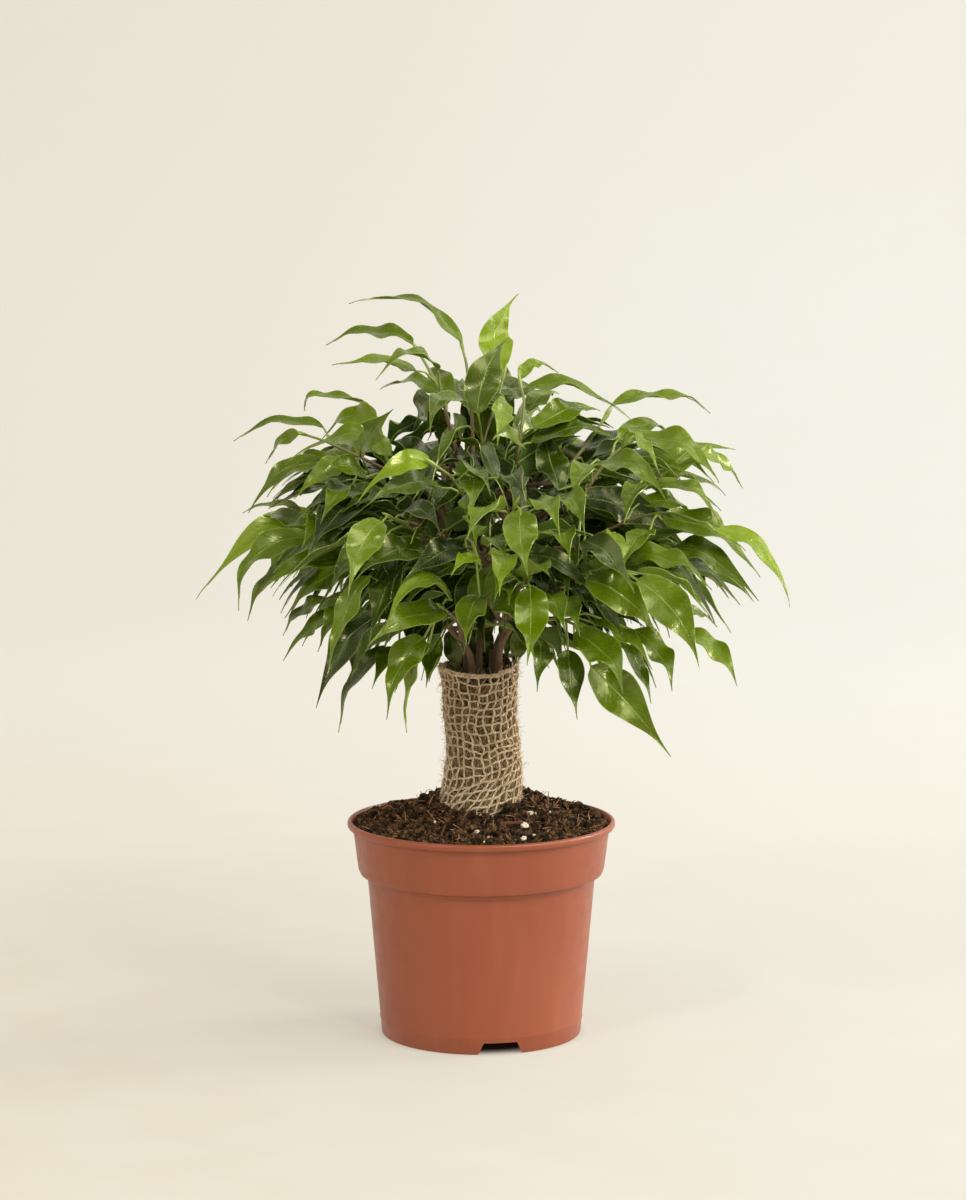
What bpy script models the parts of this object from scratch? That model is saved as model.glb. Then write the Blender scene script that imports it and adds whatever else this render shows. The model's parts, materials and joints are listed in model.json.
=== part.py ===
"""Weeping fig in a nursery pot.

Five woody stems stand in a moss column that an open jute sleeve holds. They carry leafy green
shoots, and the column stands in the soil of a tapered plastic pot. Units are metres, +Z is up,
Z is the axis of the pot, the table is z = 0 and the front of the plant looks along -Y.
"""

import math
import random
from collections import namedtuple

import bmesh
import bpy
from mathutils import Matrix, Vector
from mathutils.bvhtree import BVHTree

MM = 0.001
GAP = 0.3 * MM
UP = Vector((0, 0, 1))

# Pot, radii and heights in millimetres
POT_STEPS = 32
POT_WALL = 1.4
LIP_RADIUS = 60.0
LIP_TOP = 97.0
COLLAR_TOP = (57.4, 93.4)
COLLAR_FOOT = (55.2, 75.0)
BODY_TOP = (51.0, 70.6)
BODY_FOOT = (44.9, 0.7)
FLOOR_TOP = 7.2
FLOOR_UNDERSIDE = 5.7
NOTCH_ANGLES = (-79.0, 41.0, 161.0)
NOTCH_WIDTH_FOOT = 20.0
NOTCH_WIDTH_TOP = 15.0
NOTCH_HEIGHT = 5.4
DRAIN_RADIUS = 5.0
DRAIN_CIRCLE = 33.0

# Soil, moss column and jute sleeve in millimetres
SOIL_STEPS = 24
SOIL_RINGS = (21.2, 26.0, 33.0, 41.0, 49.0, 55.4)
SOIL_EDGE_HEIGHT = 95.0
SOIL_FRONT_HEIGHT = 98.0
SOIL_MOUND = 8.5
SOIL_BUMP = 0.9
COLUMN_RADIUS = 14.2
COLUMN_FOOT = 40.0
COLUMN_TOP = 150.0
COLUMN_STEPS = 20
STEM_HOLE_RADIUS = 3.0
STEM_HOLE_FOOT = 130.0
SLEEVE_LEDGE = 88.0
SLEEVE_INNER_RADIUS = 14.6
SLEEVE_TOP = 166.0
SLEEVE_UPRIGHTS = 14
SLEEVE_ROWS = 9
SLEEVE_RELIEF = 0.9
SLEEVE_OUTLINE = ((88.0, 20.6), (100.0, 20.1), (113.0, 18.3), (130.0, 16.9), (146.0, 16.8), (170.0, 17.9))
SLEEVE_LEAN = 0.16

# Bark chip and grains of perlite on the soil: places and sizes in millimetres
CHIP_PLACE = (15.0, -27.0)
CHIP_SIZE = (12.0, 2.6, 1.3)
GRAINS = ((21.5, -19.0, 1.7), (18.5, -44.0, 1.4))

# Camera of the reference view, from which the leaves that it shows are placed
VIEW_PLACE = Vector((0.0008, -1.603, 0.412))
VIEW_PITCH = math.radians(7.67)
VIEW_FOCUS_PX = 3634.0
VIEW_MIDDLE_PX = (483.0, 600.0)
VIEW_AHEAD = Vector((0, math.cos(VIEW_PITCH), -math.sin(VIEW_PITCH)))
VIEW_RISE = Vector((0, math.sin(VIEW_PITCH), math.cos(VIEW_PITCH)))

# Leaves and wood in millimetres
STEM_RADIUS_FOOT = 2.4
STEM_RADIUS_TOP = 1.5
BRANCH_RADIUS = 1.25
TWIG_RADIUS_FOOT = 1.1
TWIG_RADIUS_TOP = 0.7
PETIOLE_RADIUS = 0.5
LEAF_THICKNESS = 1.0
LEAF_FOLD = 0.22
LEAF_WAVE = 0.16
LEAF_WAVES = 2.3
LEAF_STATIONS = (0.0, 0.3, 0.7)
CLEARANCE = 0.35
TEST_TUBE_MARGIN = 1.3
SMOOTH_ANGLE = math.radians(35)

Leaf = namedtuple("Leaf", "root base via tip face width wave phase")
Shoot = namedtuple("Shoot", "name stem branch twig leaves")
Seen = namedtuple("Seen", "base tip near turn width via")


def seen(base, tip, near, turn=40, width=17, via=None):
    """A leaf of the reference view: base, tip and mid rib in its pixels, millimetres nearer than
    the trunk at both ends, degrees turned away from the viewer and width in millimetres."""
    return Seen(base, tip, near, turn, width, via)


# Sprays of the reference view: the twig's points (pixel x, pixel y, millimetres nearer than the
# trunk) from the wood outwards, then its leaves
SEEN_SPRAYS = {
    "top_left": (
        ((452, 436, 15), (441, 395, 12), (428, 368, 8), (419, 353, 4)),
        (
            seen((413, 344), (326, 342), (6, 0), 66, 18, (372, 331)),
            seen((416, 371), (332, 362), (22, 22), 66, 17, (380, 362)),
            seen((438, 370), (376, 377), (24, 34), 64, 17, (410, 353)),
            seen((440, 393), (380, 387), (4, 0), 66, 16, (410, 381)),
            seen((447, 404), (429, 367), (0, -8), 15, 17),
            seen((434, 394), (414, 424), (-6, -14), 25, 20),
            seen((441, 408), (439, 447), (-10, -14), 15, 16),
        ),
    ),
    "top_arch": (
        ((473, 446, 8), (471, 405, 4), (467, 368, 0), (463, 350, -2)),
        (
            seen((462, 343), (349, 300), (-2, -10), 70, 15, (414, 302)),
            seen((466, 402), (430, 430), (26, 44), 40, 17, (440, 401)),
            seen((464, 405), (449, 375), (-4, -10), 50, 11),
        ),
    ),
    "top_centre": (
        ((480, 475, 20), (484, 440, 16), (497, 400, 8), (503, 378, 4)),
        (
            seen((503, 370), (518, 292), (-2, -10), 12, 18, (496, 332)),
            seen((478, 414), (509, 335), (28, 26), 8, 18, (486, 372)),
            seen((482, 408), (484, 460), (4, -8), 30, 13),
            seen((506, 402), (497, 446), (14, 18), 30, 15),
        ),
    ),
    "top_right": (
        ((516, 480, 22), (520, 440, 20), (524, 405, 14), (521, 386, 10)),
        (
            seen((521, 379), (558, 371), (4, 2), 55, 10, (534, 364)),
            seen((526, 388), (633, 419), (8, 18), 64, 17, (578, 388)),
            seen((528, 412), (559, 392), (4, -4), 45, 15),
            seen((533, 428), (600, 408), (22, 14), 42, 17, (570, 410)),
            seen((524, 450), (492, 438), (40, 52), 45, 15, (508, 433)),
        ),
    ),
    "bare_twig": (
        ((566, 470, 20), (585, 446, 16), (603, 421, 12)),
        (
            seen((612, 405), (710, 410), (8, 4), 68, 15, (668, 395)),
            seen((586, 468), (568, 455), (0, -4), 20, 10),
        ),
    ),
    "right_high": (
        ((585, 492, 30), (606, 462, 28), (624, 445, 26)),
        (
            seen((618, 440), (678, 441), (12, 6), 58, 15, (648, 425)),
            seen((634, 437), (719, 480), (30, 32), 50, 19, (684, 447)),
            seen((629, 430), (660, 474), (42, 50), 60, 12),
            seen((592, 467), (667, 499), (48, 54), 48, 19, (634, 467)),
            seen((590, 470), (572, 506), (42, 52), 25, 17),
            seen((558, 490), (538, 421), (46, 40), 20, 17, (549, 455)),
        ),
    ),
    "right_upper": (
        ((598, 508, 8), (638, 484, 6), (676, 464, 2)),
        (
            seen((662, 480), (735, 447), (4, -6), 36, 17, (692, 451)),
            seen((700, 453), (742, 486), (0, -4), 58, 13, (722, 462)),
            seen((655, 484), (719, 520), (20, 26), 58, 15, (693, 491)),
            seen((640, 484), (624, 522), (26, 34), 30, 16),
        ),
    ),
    "right_outer": (
        ((588, 540, 22), (630, 520, 24), (668, 513, 30), (702, 523, 44)),
        (
            seen((662, 520), (760, 574), (30, 36), 46, 20, (713, 531)),
            seen((715, 531), (791, 605), (54, 64), 50, 18, (761, 551)),
            seen((640, 503), (703, 525), (14, 12), 58, 15, (676, 504)),
            seen((650, 531), (622, 566), (40, 50), 35, 17),
        ),
    ),
    "right_middle": (
        ((582, 566, 22), (622, 550, 24), (660, 545, 24)),
        (
            seen((668, 548), (759, 598), (26, 30), 48, 20, (712, 559)),
            seen((630, 556), (712, 587), (52, 56), 48, 19, (672, 561)),
            seen((612, 533), (624, 573), (56, 64), 50, 16),
            seen((584, 541), (634, 590), (72, 82), 30, 18),
        ),
    ),
    "right_front": (
        ((556, 588, 40), (588, 574, 60), (622, 574, 66)),
        (
            seen((586, 580), (658, 635), (84, 92), 18, 20, (628, 600)),
            seen((637, 580), (700, 666), (74, 84), 12, 21, (676, 614)),
            seen((674, 612), (717, 625), (30, 24), 58, 13),
            seen((680, 632), (737, 684), (34, 36), 48, 15, (717, 651)),
            seen((562, 598), (580, 634), (74, 82), 25, 16),
        ),
    ),
    "right_low": (
        ((532, 620, 36), (556, 618, 56), (576, 625, 68)),
        (
            seen((574, 634), (623, 691), (82, 90), 18, 20, (607, 656)),
            seen((591, 666), (671, 754), (76, 84), 12, 21, (628, 704)),
            seen((568, 650), (577, 718), (66, 70), 22, 15, (571, 682)),
            seen((616, 640), (651, 702), (40, 44), 56, 15, (638, 667)),
            seen((592, 622), (652, 667), (60, 64), 58, 17, (626, 637)),
            seen((634, 630), (672, 689), (46, 50), 40, 17, (661, 656)),
        ),
    ),
    "centre_low": (
        ((506, 606, 46), (516, 588, 70), (527, 580, 84)),
        (
            seen((530, 588), (527, 663), (94, 98), 6, 19, (531, 624)),
            seen((542, 640), (537, 690), (60, 62), 30, 15),
            seen((546, 594), (566, 632), (78, 82), 25, 16),
        ),
    ),
    "centre_front": (
        ((500, 558, 56), (506, 528, 84), (515, 506, 94)),
        (
            seen((521, 511), (528, 574), (104, 110), 4, 19, (521, 540)),
            seen((503, 553), (499, 594), (92, 100), 12, 18),
            seen((487, 546), (507, 566), (92, 104), 40, 15, (497, 541)),
            seen((532, 505), (560, 536), (88, 100), 30, 18, (549, 505)),
            seen((554, 498), (585, 533), (78, 88), 25, 18, (574, 502)),
            seen((556, 534), (570, 560), (84, 104), 20, 17, (565, 537)),
        ),
    ),
    "centre_left": (
        ((480, 560, 50), (456, 552, 72), (436, 549, 80)),
        (
            seen((480, 563), (451, 574), (98, 108), 45, 13, (465, 560)),
            seen((480, 596), (466, 643), (88, 94), 16, 17, (469, 616)),
            seen((466, 548), (400, 582), (82, 90), 32, 16, (436, 556)),
            seen((438, 546), (410, 541), (72, 84), 25, 17, (425, 527)),
            seen((424, 552), (356, 576), (70, 78), 30, 19, (391, 553)),
        ),
    ),
    "centre_twig": (
        ((486, 524, 40), (466, 500, 56), (452, 478, 66), (436, 466, 70)),
        (
            seen((430, 463), (356, 502), (70, 76), 30, 19, (394, 463)),
            seen((441, 488), (366, 503), (58, 60), 46, 18, (404, 485)),
            seen((474, 478), (472, 513), (84, 96), 20, 18, (473, 489)),
            seen((506, 478), (526, 498), (78, 90), 30, 17, (514, 478)),
        ),
    ),
    "left_face": (
        ((446, 560, 30), (416, 532, 54), (392, 518, 66)),
        (
            seen((382, 522), (348, 595), (80, 88), 10, 18, (361, 548)),
            seen((402, 514), (440, 530), (62, 72), 40, 17, (424, 512)),
            seen((378, 544), (330, 590), (66, 72), 40, 17, (350, 560)),
        ),
    ),
    "left_low_front": (
        ((458, 622, 34), (448, 612, 60), (440, 606, 74)),
        (
            seen((446, 613), (367, 643), (84, 88), 36, 19, (408, 618)),
            seen((452, 600), (383, 632), (92, 96), 52, 16, (416, 582)),
            seen((429, 643), (407, 732), (76, 82), 56, 13, (410, 680)),
            seen((424, 638), (387, 718), (68, 74), 28, 17, (400, 668)),
            seen((436, 650), (426, 686), (56, 58), 40, 13),
        ),
    ),
    "left_low": (
        ((440, 610, 16), (410, 602, 32), (384, 602, 44)),
        (
            seen((379, 614), (316, 706), (54, 60), 40, 18, (342, 650)),
            seen((385, 646), (339, 731), (38, 42), 60, 14, (352, 686)),
            seen((370, 576), (329, 668), (68, 78), 46, 15, (344, 616)),
            seen((399, 646), (372, 687), (46, 48), 40, 14),
            seen((362, 632), (351, 680), (36, 38), 50, 14),
        ),
    ),
    "left_outer": (
        ((414, 560, -4), (372, 542, -8), (334, 532, -14)),
        (
            seen((322, 532), (195, 595), (-24, -36), 32, 21, (266, 533)),
            seen((314, 538), (239, 608), (4, 6), 42, 16, (256, 555)),
            seen((343, 560), (260, 589), (24, 26), 44, 18, (302, 563)),
            seen((352, 572), (284, 616), (42, 40), 42, 17, (320, 580)),
            seen((300, 562), (248, 619), (-8, -12), 56, 13, (266, 582)),
        ),
    ),
    "left_under": (
        ((412, 592, -6), (374, 592, 2), (344, 598, 8)),
        (
            seen((326, 600), (283, 634), (22, 20), 58, 13, (300, 612)),
            seen((336, 616), (283, 659), (26, 24), 56, 14, (310, 628)),
            seen((348, 606), (318, 650), (14, 14), 40, 15),
        ),
    ),
    "left_high": (
        ((404, 478, 6), (356, 456, 2), (327, 442, 0), (306, 435, 0)),
        (
            seen((299, 434), (266, 462), (4, 2), 56, 11, (281, 442)),
            seen((323, 427), (234, 438), (-4, -10), 68, 14, (278, 422)),
            seen((391, 455), (285, 461), (28, 20), 56, 16, (345, 436)),
            seen((377, 417), (322, 437), (10, 6), 44, 16, (348, 417)),
            seen((362, 450), (393, 407), (8, 14), 34, 16, (374, 430)),
            seen((368, 404), (305, 409), (-6, -12), 76, 12, (318, 395)),
        ),
    ),
    "left_middle": (
        ((414, 504, 4), (378, 480, 6), (352, 466, 8)),
        (
            seen((340, 463), (282, 483), (22, 18), 48, 17, (312, 465)),
            seen((354, 459), (294, 497), (38, 38), 44, 14, (324, 472)),
            seen((325, 463), (249, 510), (2, -4), 54, 15, (284, 472)),
            seen((356, 457), (322, 455), (16, 10), 50, 12),
            seen((366, 477), (322, 470), (30, 30), 40, 16),
            seen((352, 486), (320, 522), (36, 40), 45, 15),
        ),
    ),
    "left_shelf": (
        ((410, 536, -10), (360, 524, -8), (316, 518, -6)),
        (
            seen((300, 512), (243, 511), (-4, -10), 72, 12, (274, 504)),
            seen((304, 525), (260, 521), (2, -2), 50, 15, (282, 516)),
            seen((330, 521), (302, 545), (22, 24), 35, 18),
            seen((352, 520), (312, 512), (18, 14), 45, 17),
        ),
    ),
}

# Main stems in millimetres, from their foot in the moss column upwards
STEM_LINES = {
    "stem_left": ((-5, -7, 131), (-5, -7, 152), (-5, -7, 172), (-17, -9, 189), (-44, -4, 226)),
    "stem_right": ((9, -5, 131), (9, -5, 152), (8, -6, 172), (13, -7, 200), (8, 4, 256)),
    "stem_back_left": ((-7, 6, 131), (-7, 6, 152), (-7, 7, 172), (-14, 15, 206), (-17, 6, 256)),
    "stem_back_right": ((6, 7, 131), (6, 7, 152), (6, 8, 172), (22, 18, 200), (50, 16, 240)),
    "stem_back": ((0, 0, 131), (0, 0, 152), (-1, 2, 171), (1, 26, 196), (-4, 58, 232)),
}

# Shoots on the far side of the crown: tiers of count, first azimuth, rise of the twig, reach, droop
HIDDEN_TIERS = (
    (7, 8.0, 4.0, 94.0, 0.75),
    (5, 20.0, 32.0, 90.0, 0.6),
    (2, 60.0, 60.0, 70.0, 0.4),
)
FAR_LEAVES = 9
INNER_SHOOTS = 9
INNER_TURN = 137.5
INNER_LEAVES = 7
INNER_DROOP = 0.5
CROWN_MIDDLE = Vector((0, 0, 212)) * MM
LEAF_TRIES = 26
TWIG_TRIES = 200
ROOT_STEPS = 5
LEAF_SLIMNESS = 2.5
TOWARDS_VIEWER = 0.8
CROWN_OUTLINE_PX = (
    (278, 604), (252, 566), (262, 520), (256, 488), (296, 450), (345, 424), (385, 402), (408, 378),
    (445, 368), (470, 382), (478, 350), (515, 325), (522, 374), (560, 388), (600, 416), (640, 428),
    (700, 444), (728, 474), (722, 512), (752, 552), (758, 596), (724, 645), (690, 676), (640, 694),
    (580, 694), (532, 664), (436, 664), (400, 704), (345, 694), (300, 654),
)
SLEEVE_WINDOW_PX = (432, 528, 652)


def photo_point(px, py, near):
    """The point under a pixel of the reference view, so many millimetres nearer than the trunk."""
    right = (px - VIEW_MIDDLE_PX[0]) / VIEW_FOCUS_PX
    rise = (VIEW_MIDDLE_PX[1] - py) / VIEW_FOCUS_PX
    ray = VIEW_AHEAD + VIEW_RISE * rise + Vector((right, 0, 0))
    return VIEW_PLACE + ray * ((-near * MM - VIEW_PLACE.y) / ray.y)


def photo_pixel(point):
    """The pixel of the reference view that a point falls on."""
    arm = point - VIEW_PLACE
    scale = VIEW_FOCUS_PX / arm.dot(VIEW_AHEAD)
    return VIEW_MIDDLE_PX[0] + arm.x * scale, VIEW_MIDDLE_PX[1] - arm.dot(VIEW_RISE) * scale


def inside_outline(point):
    """Whether a point falls inside the dense part of the crown and clear of the sleeve's front."""
    px, py = photo_pixel(point)
    if SLEEVE_WINDOW_PX[0] < px < SLEEVE_WINDOW_PX[1] and py > SLEEVE_WINDOW_PX[2] and point.y < 0:
        return False
    inside = False
    corners = CROWN_OUTLINE_PX
    for (ax, ay), (bx, by) in zip(corners, corners[1:] + corners[:1]):
        if (ay > py) != (by > py) and px < ax + (bx - ax) * (py - ay) / (by - ay):
            inside = not inside
    return inside


def smoothstep(low, high, value):
    """Share from 0 to 1 of the way between two values, with soft ends."""
    part = min(max((value - low) / (high - low), 0.0), 1.0)
    return part * part * (3 - 2 * part)


def width_share(u):
    """Half width of a blade along its mid rib, as a share of its greatest: round base, long tip."""
    return math.sin(math.pi * u ** 0.716) ** 0.85 * (1 - 0.72 * smoothstep(0.6, 1.0, u))


def midrib(leaf, u):
    """Point on the mid rib, an arc through base, via and tip."""
    control = 2 * leaf.via - (leaf.base + leaf.tip) / 2
    return (1 - u) ** 2 * leaf.base + 2 * u * (1 - u) * control + u * u * leaf.tip


def leaf_frame(leaf, u):
    """Direction, side and upper face of the blade at a place on its mid rib."""
    ahead = (midrib(leaf, min(u + 0.02, 1.0)) - midrib(leaf, max(u - 0.02, 0.0))).normalized()
    side = ahead.cross(leaf.face).normalized()
    return ahead, side, side.cross(ahead)


def blade_edges(leaf, u):
    """Left edge, mid rib, right edge and upper face of the blade, folded up from the rib and waved."""
    ahead, side, face = leaf_frame(leaf, u)
    centre = midrib(leaf, u)
    half = max(leaf.width / 2 * width_share(u), PETIOLE_RADIUS * MM)
    lift = half * LEAF_FOLD
    swing = leaf.wave * half * math.sin(2 * math.pi * LEAF_WAVES * u + leaf.phase)
    left = centre - side * half + face * (lift + swing)
    right = centre + side * half + face * (lift - swing)
    return left, centre, right, face


def leaf_mesh(leaf, growth=0.0):
    """Points and triangles of a closed leaf with its petiole, both faces split alike."""
    thick = LEAF_THICKNESS * MM / 2 + growth
    rim = PETIOLE_RADIUS * MM + growth
    ahead, side, face = leaf_frame(leaf, 0.0)
    stalk = (leaf.base - leaf.root).normalized()
    across = (side - stalk * side.dot(stalk)).normalized()
    over = across.cross(stalk)
    root = leaf.root
    points = [root - across * rim, root + over * rim, root + across * rim, root - over * rim]
    for u in LEAF_STATIONS:
        left, centre, right, up = blade_edges(leaf, u)
        out = (right - left).normalized() * growth
        points += [left - out, centre + up * thick, right + out, centre - up * thick]
    points.append(leaf.tip + ahead * growth)
    faces = [(3, 2, 1), (3, 1, 0)]
    for ring in range(0, 4 * len(LEAF_STATIONS), 4):
        for k in range(4):
            a, b = ring + k, ring + (k + 1) % 4
            if k % 2 == 0:
                faces += [(a, b, b + 4), (a, b + 4, a + 4)]
            else:
                faces += [(a, b, a + 4), (b, b + 4, a + 4)]
    last = 4 * len(LEAF_STATIONS)
    faces += [(last + k, last + (k + 1) % 4, last + 4) for k in range(4)]
    return points, faces


def tube_mesh(line, radius):
    """Points and triangles of a square tube that holds a round one, for testing what it touches."""
    radius *= TEST_TUBE_MARGIN
    points, faces = [], []
    for i, here in enumerate(line):
        ahead = (line[min(i + 1, len(line) - 1)] - line[max(i - 1, 0)]).normalized()
        side = ahead.cross(UP)
        side = side.normalized() if side.length > 0.05 else Vector((1, 0, 0))
        over = side.cross(ahead)
        points += [here - side * radius, here + over * radius, here + side * radius, here - over * radius]
    for ring in range(0, 4 * (len(line) - 1), 4):
        for k in range(4):
            a, b = ring + k, ring + (k + 1) % 4
            faces += [(a, b, b + 4), (a, b + 4, a + 4)]
    faces += [(3, 2, 1), (3, 1, 0)]
    last = len(points) - 4
    faces += [(last, last + 1, last + 2), (last, last + 2, last + 3)]
    return points, faces


class Room:
    """What already stands in the crown, so that new growth keeps clear of it."""

    def __init__(self):
        self.taken = []

    @staticmethod
    def shape(mesh):
        """Middle, reach and search tree of a mesh."""
        points, faces = mesh
        middle = sum(points, Vector()) / len(points)
        reach = max((point - middle).length for point in points)
        return middle, reach, BVHTree.FromPolygons(points, faces)

    def add(self, mesh, name):
        """Take up the room of a mesh under a name."""
        self.taken.append((*self.shape(mesh), name))

    def free(self, mesh, ignore=()):
        """Whether a mesh touches nothing but what the ignored names took up."""
        middle, reach, tree = self.shape(mesh)
        for other_middle, other_reach, other_tree, name in self.taken:
            near = (middle - other_middle).length < reach + other_reach
            if near and name not in ignore and tree.overlap(other_tree):
                return False
        return True


def smooth_line(points, steps):
    """Points on a smooth curve through the given ones, a few to each span."""
    ends = [2 * points[0] - points[1], *points, 2 * points[-1] - points[-2]]
    line = []
    for a, b, c, d in zip(ends, ends[1:], ends[2:], ends[3:]):
        for step in range(steps):
            t = step / steps
            line.append(((2 * b) + (c - a) * t + (2 * a - 5 * b + 4 * c - d) * t * t
                         + (3 * b - a - 3 * c + d) * t ** 3) / 2)
    return line + [points[-1]]


def line_point(line, share):
    """Point at a share of the length of a line."""
    spans = [(b - a).length for a, b in zip(line, line[1:])]
    left = share * sum(spans)
    for a, b, span in zip(line, line[1:], spans):
        if left <= span:
            return a.lerp(b, left / span)
        left -= span
    return line[-1]


def root_on(twig, base, ahead):
    """Place on a twig that a leaf grows from: near its base, and behind it rather than under it."""
    best, best_cost = None, None
    for a, b in zip(twig, twig[1:]):
        for step in range(ROOT_STEPS):
            place = a.lerp(b, (step + 0.5) / ROOT_STEPS)
            stalk = base - place
            cost = max(stalk.length, 4 * MM) * (1.5 - stalk.normalized().dot(ahead))
            if best is None or cost < best_cost:
                best, best_cost = place, cost
    return best


def seen_face(base, tip, turn):
    """Upper face of a leaf of the reference view: turned from the viewer towards up and outwards."""
    chord = (tip - base).normalized()
    viewer = (VIEW_PLACE - base).normalized()
    viewer = (viewer - chord * viewer.dot(chord)).normalized()
    raised = chord.cross(viewer)
    if raised.dot(UP + Vector((base.x, 0, 0)).normalized() * 0.4) < 0:
        raised = -raised
    turn = math.radians(turn)
    return viewer * math.cos(turn) + raised * math.sin(turn)


def seen_leaf(row, twig, chance):
    """Leaf at its place in the reference view, rooted in the nearest place on its twig."""
    shift = chance.uniform(-1, 1)
    base = photo_point(*row.base, row.near[0])
    across = (photo_point(*row.tip, row.near[0]) - base).length / MM
    hidden_length = TOWARDS_VIEWER * math.sqrt(max((LEAF_SLIMNESS * row.width) ** 2 - across ** 2, 0.0))
    step = row.near[1] - row.near[0]
    near_tip = row.near[0] + math.copysign(max(abs(step), hidden_length), step)
    tip = photo_point(*row.tip, near_tip)
    arch = UP * (tip - base).length * 0.1
    via = photo_point(*row.via, (row.near[0] + near_tip) / 2) if row.via else (base + tip) / 2 + arch
    root = root_on(twig, base, (via - base).normalized())
    return Leaf(root, base, via, tip, seen_face(base, tip, row.turn), row.width * MM,
                LEAF_WAVE * (1 + 0.3 * shift), chance.uniform(0, 6.28))


def moved(leaf, offset, twig, lift=0.0):
    """The same leaf shifted as a whole, with its root back on the twig and its tip lifted."""
    base = leaf.base + offset
    tip = leaf.tip + offset + UP * lift
    via = leaf.via + offset
    return leaf._replace(root=root_on(twig, base, (via - base).normalized()), base=base, via=via, tip=tip)


def blade_only(leaf, growth):
    """Test shape of a leaf without the first part of its petiole, which is fused to the twig."""
    start = leaf.root.lerp(leaf.base, min(0.5, 3.0 * MM / (leaf.base - leaf.root).length))
    return leaf_mesh(leaf._replace(root=start), growth)


def folds_over(leaf):
    """Whether the surface of a leaf crosses itself."""
    points, faces = leaf_mesh(leaf)
    tree = BVHTree.FromPolygons(points, faces)
    return any(not set(faces[a]) & set(faces[b]) for a, b in tree.overlap(tree))


def place_leaf(room, leaf, twig, name, offsets, keep=None):
    """The leaf at the first of the given offsets where it touches nothing, or None."""
    for offset, lift in offsets:
        trial = moved(leaf, offset, twig, lift)
        if folds_over(trial):
            trial = trial._replace(wave=0.0, width=trial.width * 0.8)
        whole = leaf_mesh(trial, CLEARANCE * MM)
        if folds_over(trial) or (keep and not all(keep(point) for point in whole[0])):
            continue
        if not room.free(whole, (name + "_twig", name)):
            continue
        if room.free(blade_only(trial, CLEARANCE * MM), (name + "_twig",)):
            room.add(leaf_mesh(trial), name)
            return trial
    return None


def branch_line(stems, start, ahead, name=None):
    """Wood from the nearest main stem to the start of a twig, ending in line with it."""
    best = None
    for stem, line in stems.items():
        if name and stem != name:
            continue
        for a, b in zip(line[4:], line[5:]):
            for share in (0.0, 0.5):
                foot = a.lerp(b, share)
                drop = max(foot.z - start.z + 12 * MM, 0)
                cost = (foot - start).length + 3 * drop
                if best is None or cost < best[0]:
                    best = (cost, stem, foot)
    _, stem, foot = best
    end = start - ahead * GAP
    before = end - ahead * min(7 * MM, (end - foot).length * 0.35)
    middle = (foot + before) / 2 + UP * 2.5 * MM
    return stem, [foot, middle, before, end]


def jog(chance, amount):
    """Small shift at random."""
    return Vector([chance.uniform(-1, 1) for _ in range(3)]) * amount


def bent(line, chance, amount):
    """The line with its inner points moved a little at random."""
    return [line[0]] + [point + jog(chance, amount) for point in line[1:-1]] + [line[-1]]


def place_twig(room, stems, line, name, chance):
    """Branch and twig of a shoot, bent until they keep clear of everything placed before."""
    for attempt in range(TWIG_TRIES):
        amount = min(0.5 * attempt, 16.0) * MM
        twig = bent(line, chance, amount)
        twig[0] = line[0] + jog(chance, amount * 0.5)
        ahead = (twig[1] - twig[0]).normalized()
        pick = chance.choice(list(stems)) if attempt > 20 else None
        stem, branch = branch_line(stems, twig[0], ahead, pick)
        branch = [branch[0], bent(branch[:3], chance, amount)[1], *branch[2:]]
        twig_mesh = tube_mesh(twig, (TWIG_RADIUS_FOOT + CLEARANCE) * MM)
        branch_mesh = tube_mesh(branch, (BRANCH_RADIUS + CLEARANCE) * MM)
        if not room.free(twig_mesh):
            continue
        tail = tube_mesh([branch[0].lerp(branch[1], 0.45), *branch[1:]], (BRANCH_RADIUS + CLEARANCE) * MM)
        if room.free(branch_mesh, (stem,)) and room.free(tail):
            room.add(tube_mesh(twig, TWIG_RADIUS_FOOT * MM), name + "_twig")
            room.add(tube_mesh(branch, BRANCH_RADIUS * MM), stem)
            return stem, branch, twig
    raise ValueError("no room for " + name)


def view_offsets(point):
    """Shifts along the line of sight, which leave a leaf's place in the reference view."""
    sight = (VIEW_PLACE - point).normalized() * MM
    steps = (0, 3, -3, 6, -6, 9, -9, 13, -13, 17, -17, 22, -22, 28, -28)
    shifts = ((0, 0, 0), (0, 0, 2), (2, 0, 0), (0, 0, -2), (-2, 0, 0), (4, 0, 3))
    return [(sight * step + Vector(shift) * MM, lift * MM)
            for shift in shifts for lift in (0, 3, -3) for step in steps]


def seen_leaves(room, twig, name, chance):
    """The leaves of one spray of the reference view."""
    leaves = []
    for row in SEEN_SPRAYS[name][1]:
        leaf = seen_leaf(row, twig, chance)
        leaves.append(place_leaf(room, leaf, twig, name, view_offsets(leaf.base)))
    return [leaf for leaf in leaves if leaf]


def free_leaf(place, ahead, side, chance, droop):
    """Leaf of a hidden shoot: out and to one side of its twig, arched, with a hanging tip."""
    length = chance.uniform(42, 60) * MM
    out = (ahead * chance.uniform(0.5, 1.1) + side * chance.uniform(0.5, 1.0)
           + UP * chance.uniform(-0.2, 0.35)).normalized()
    base = place + out * chance.uniform(8, 12) * MM
    sink = droop * chance.uniform(0.6, 1.3)
    tip = base + (out - UP * sink).normalized() * length
    via = (base + tip) / 2 + (UP * 0.6 + out * 0.4) * length * chance.uniform(0.08, 0.2)
    lean = Vector([chance.uniform(-0.35, 0.35) for _ in range(3)])
    face = (UP + out * 0.6 * sink + lean).normalized()
    width = length * chance.uniform(0.32, 0.4)
    return Leaf(place, base, via, tip, face, width, LEAF_WAVE * chance.uniform(0.7, 1.3),
                chance.uniform(0, 6.28))


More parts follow.
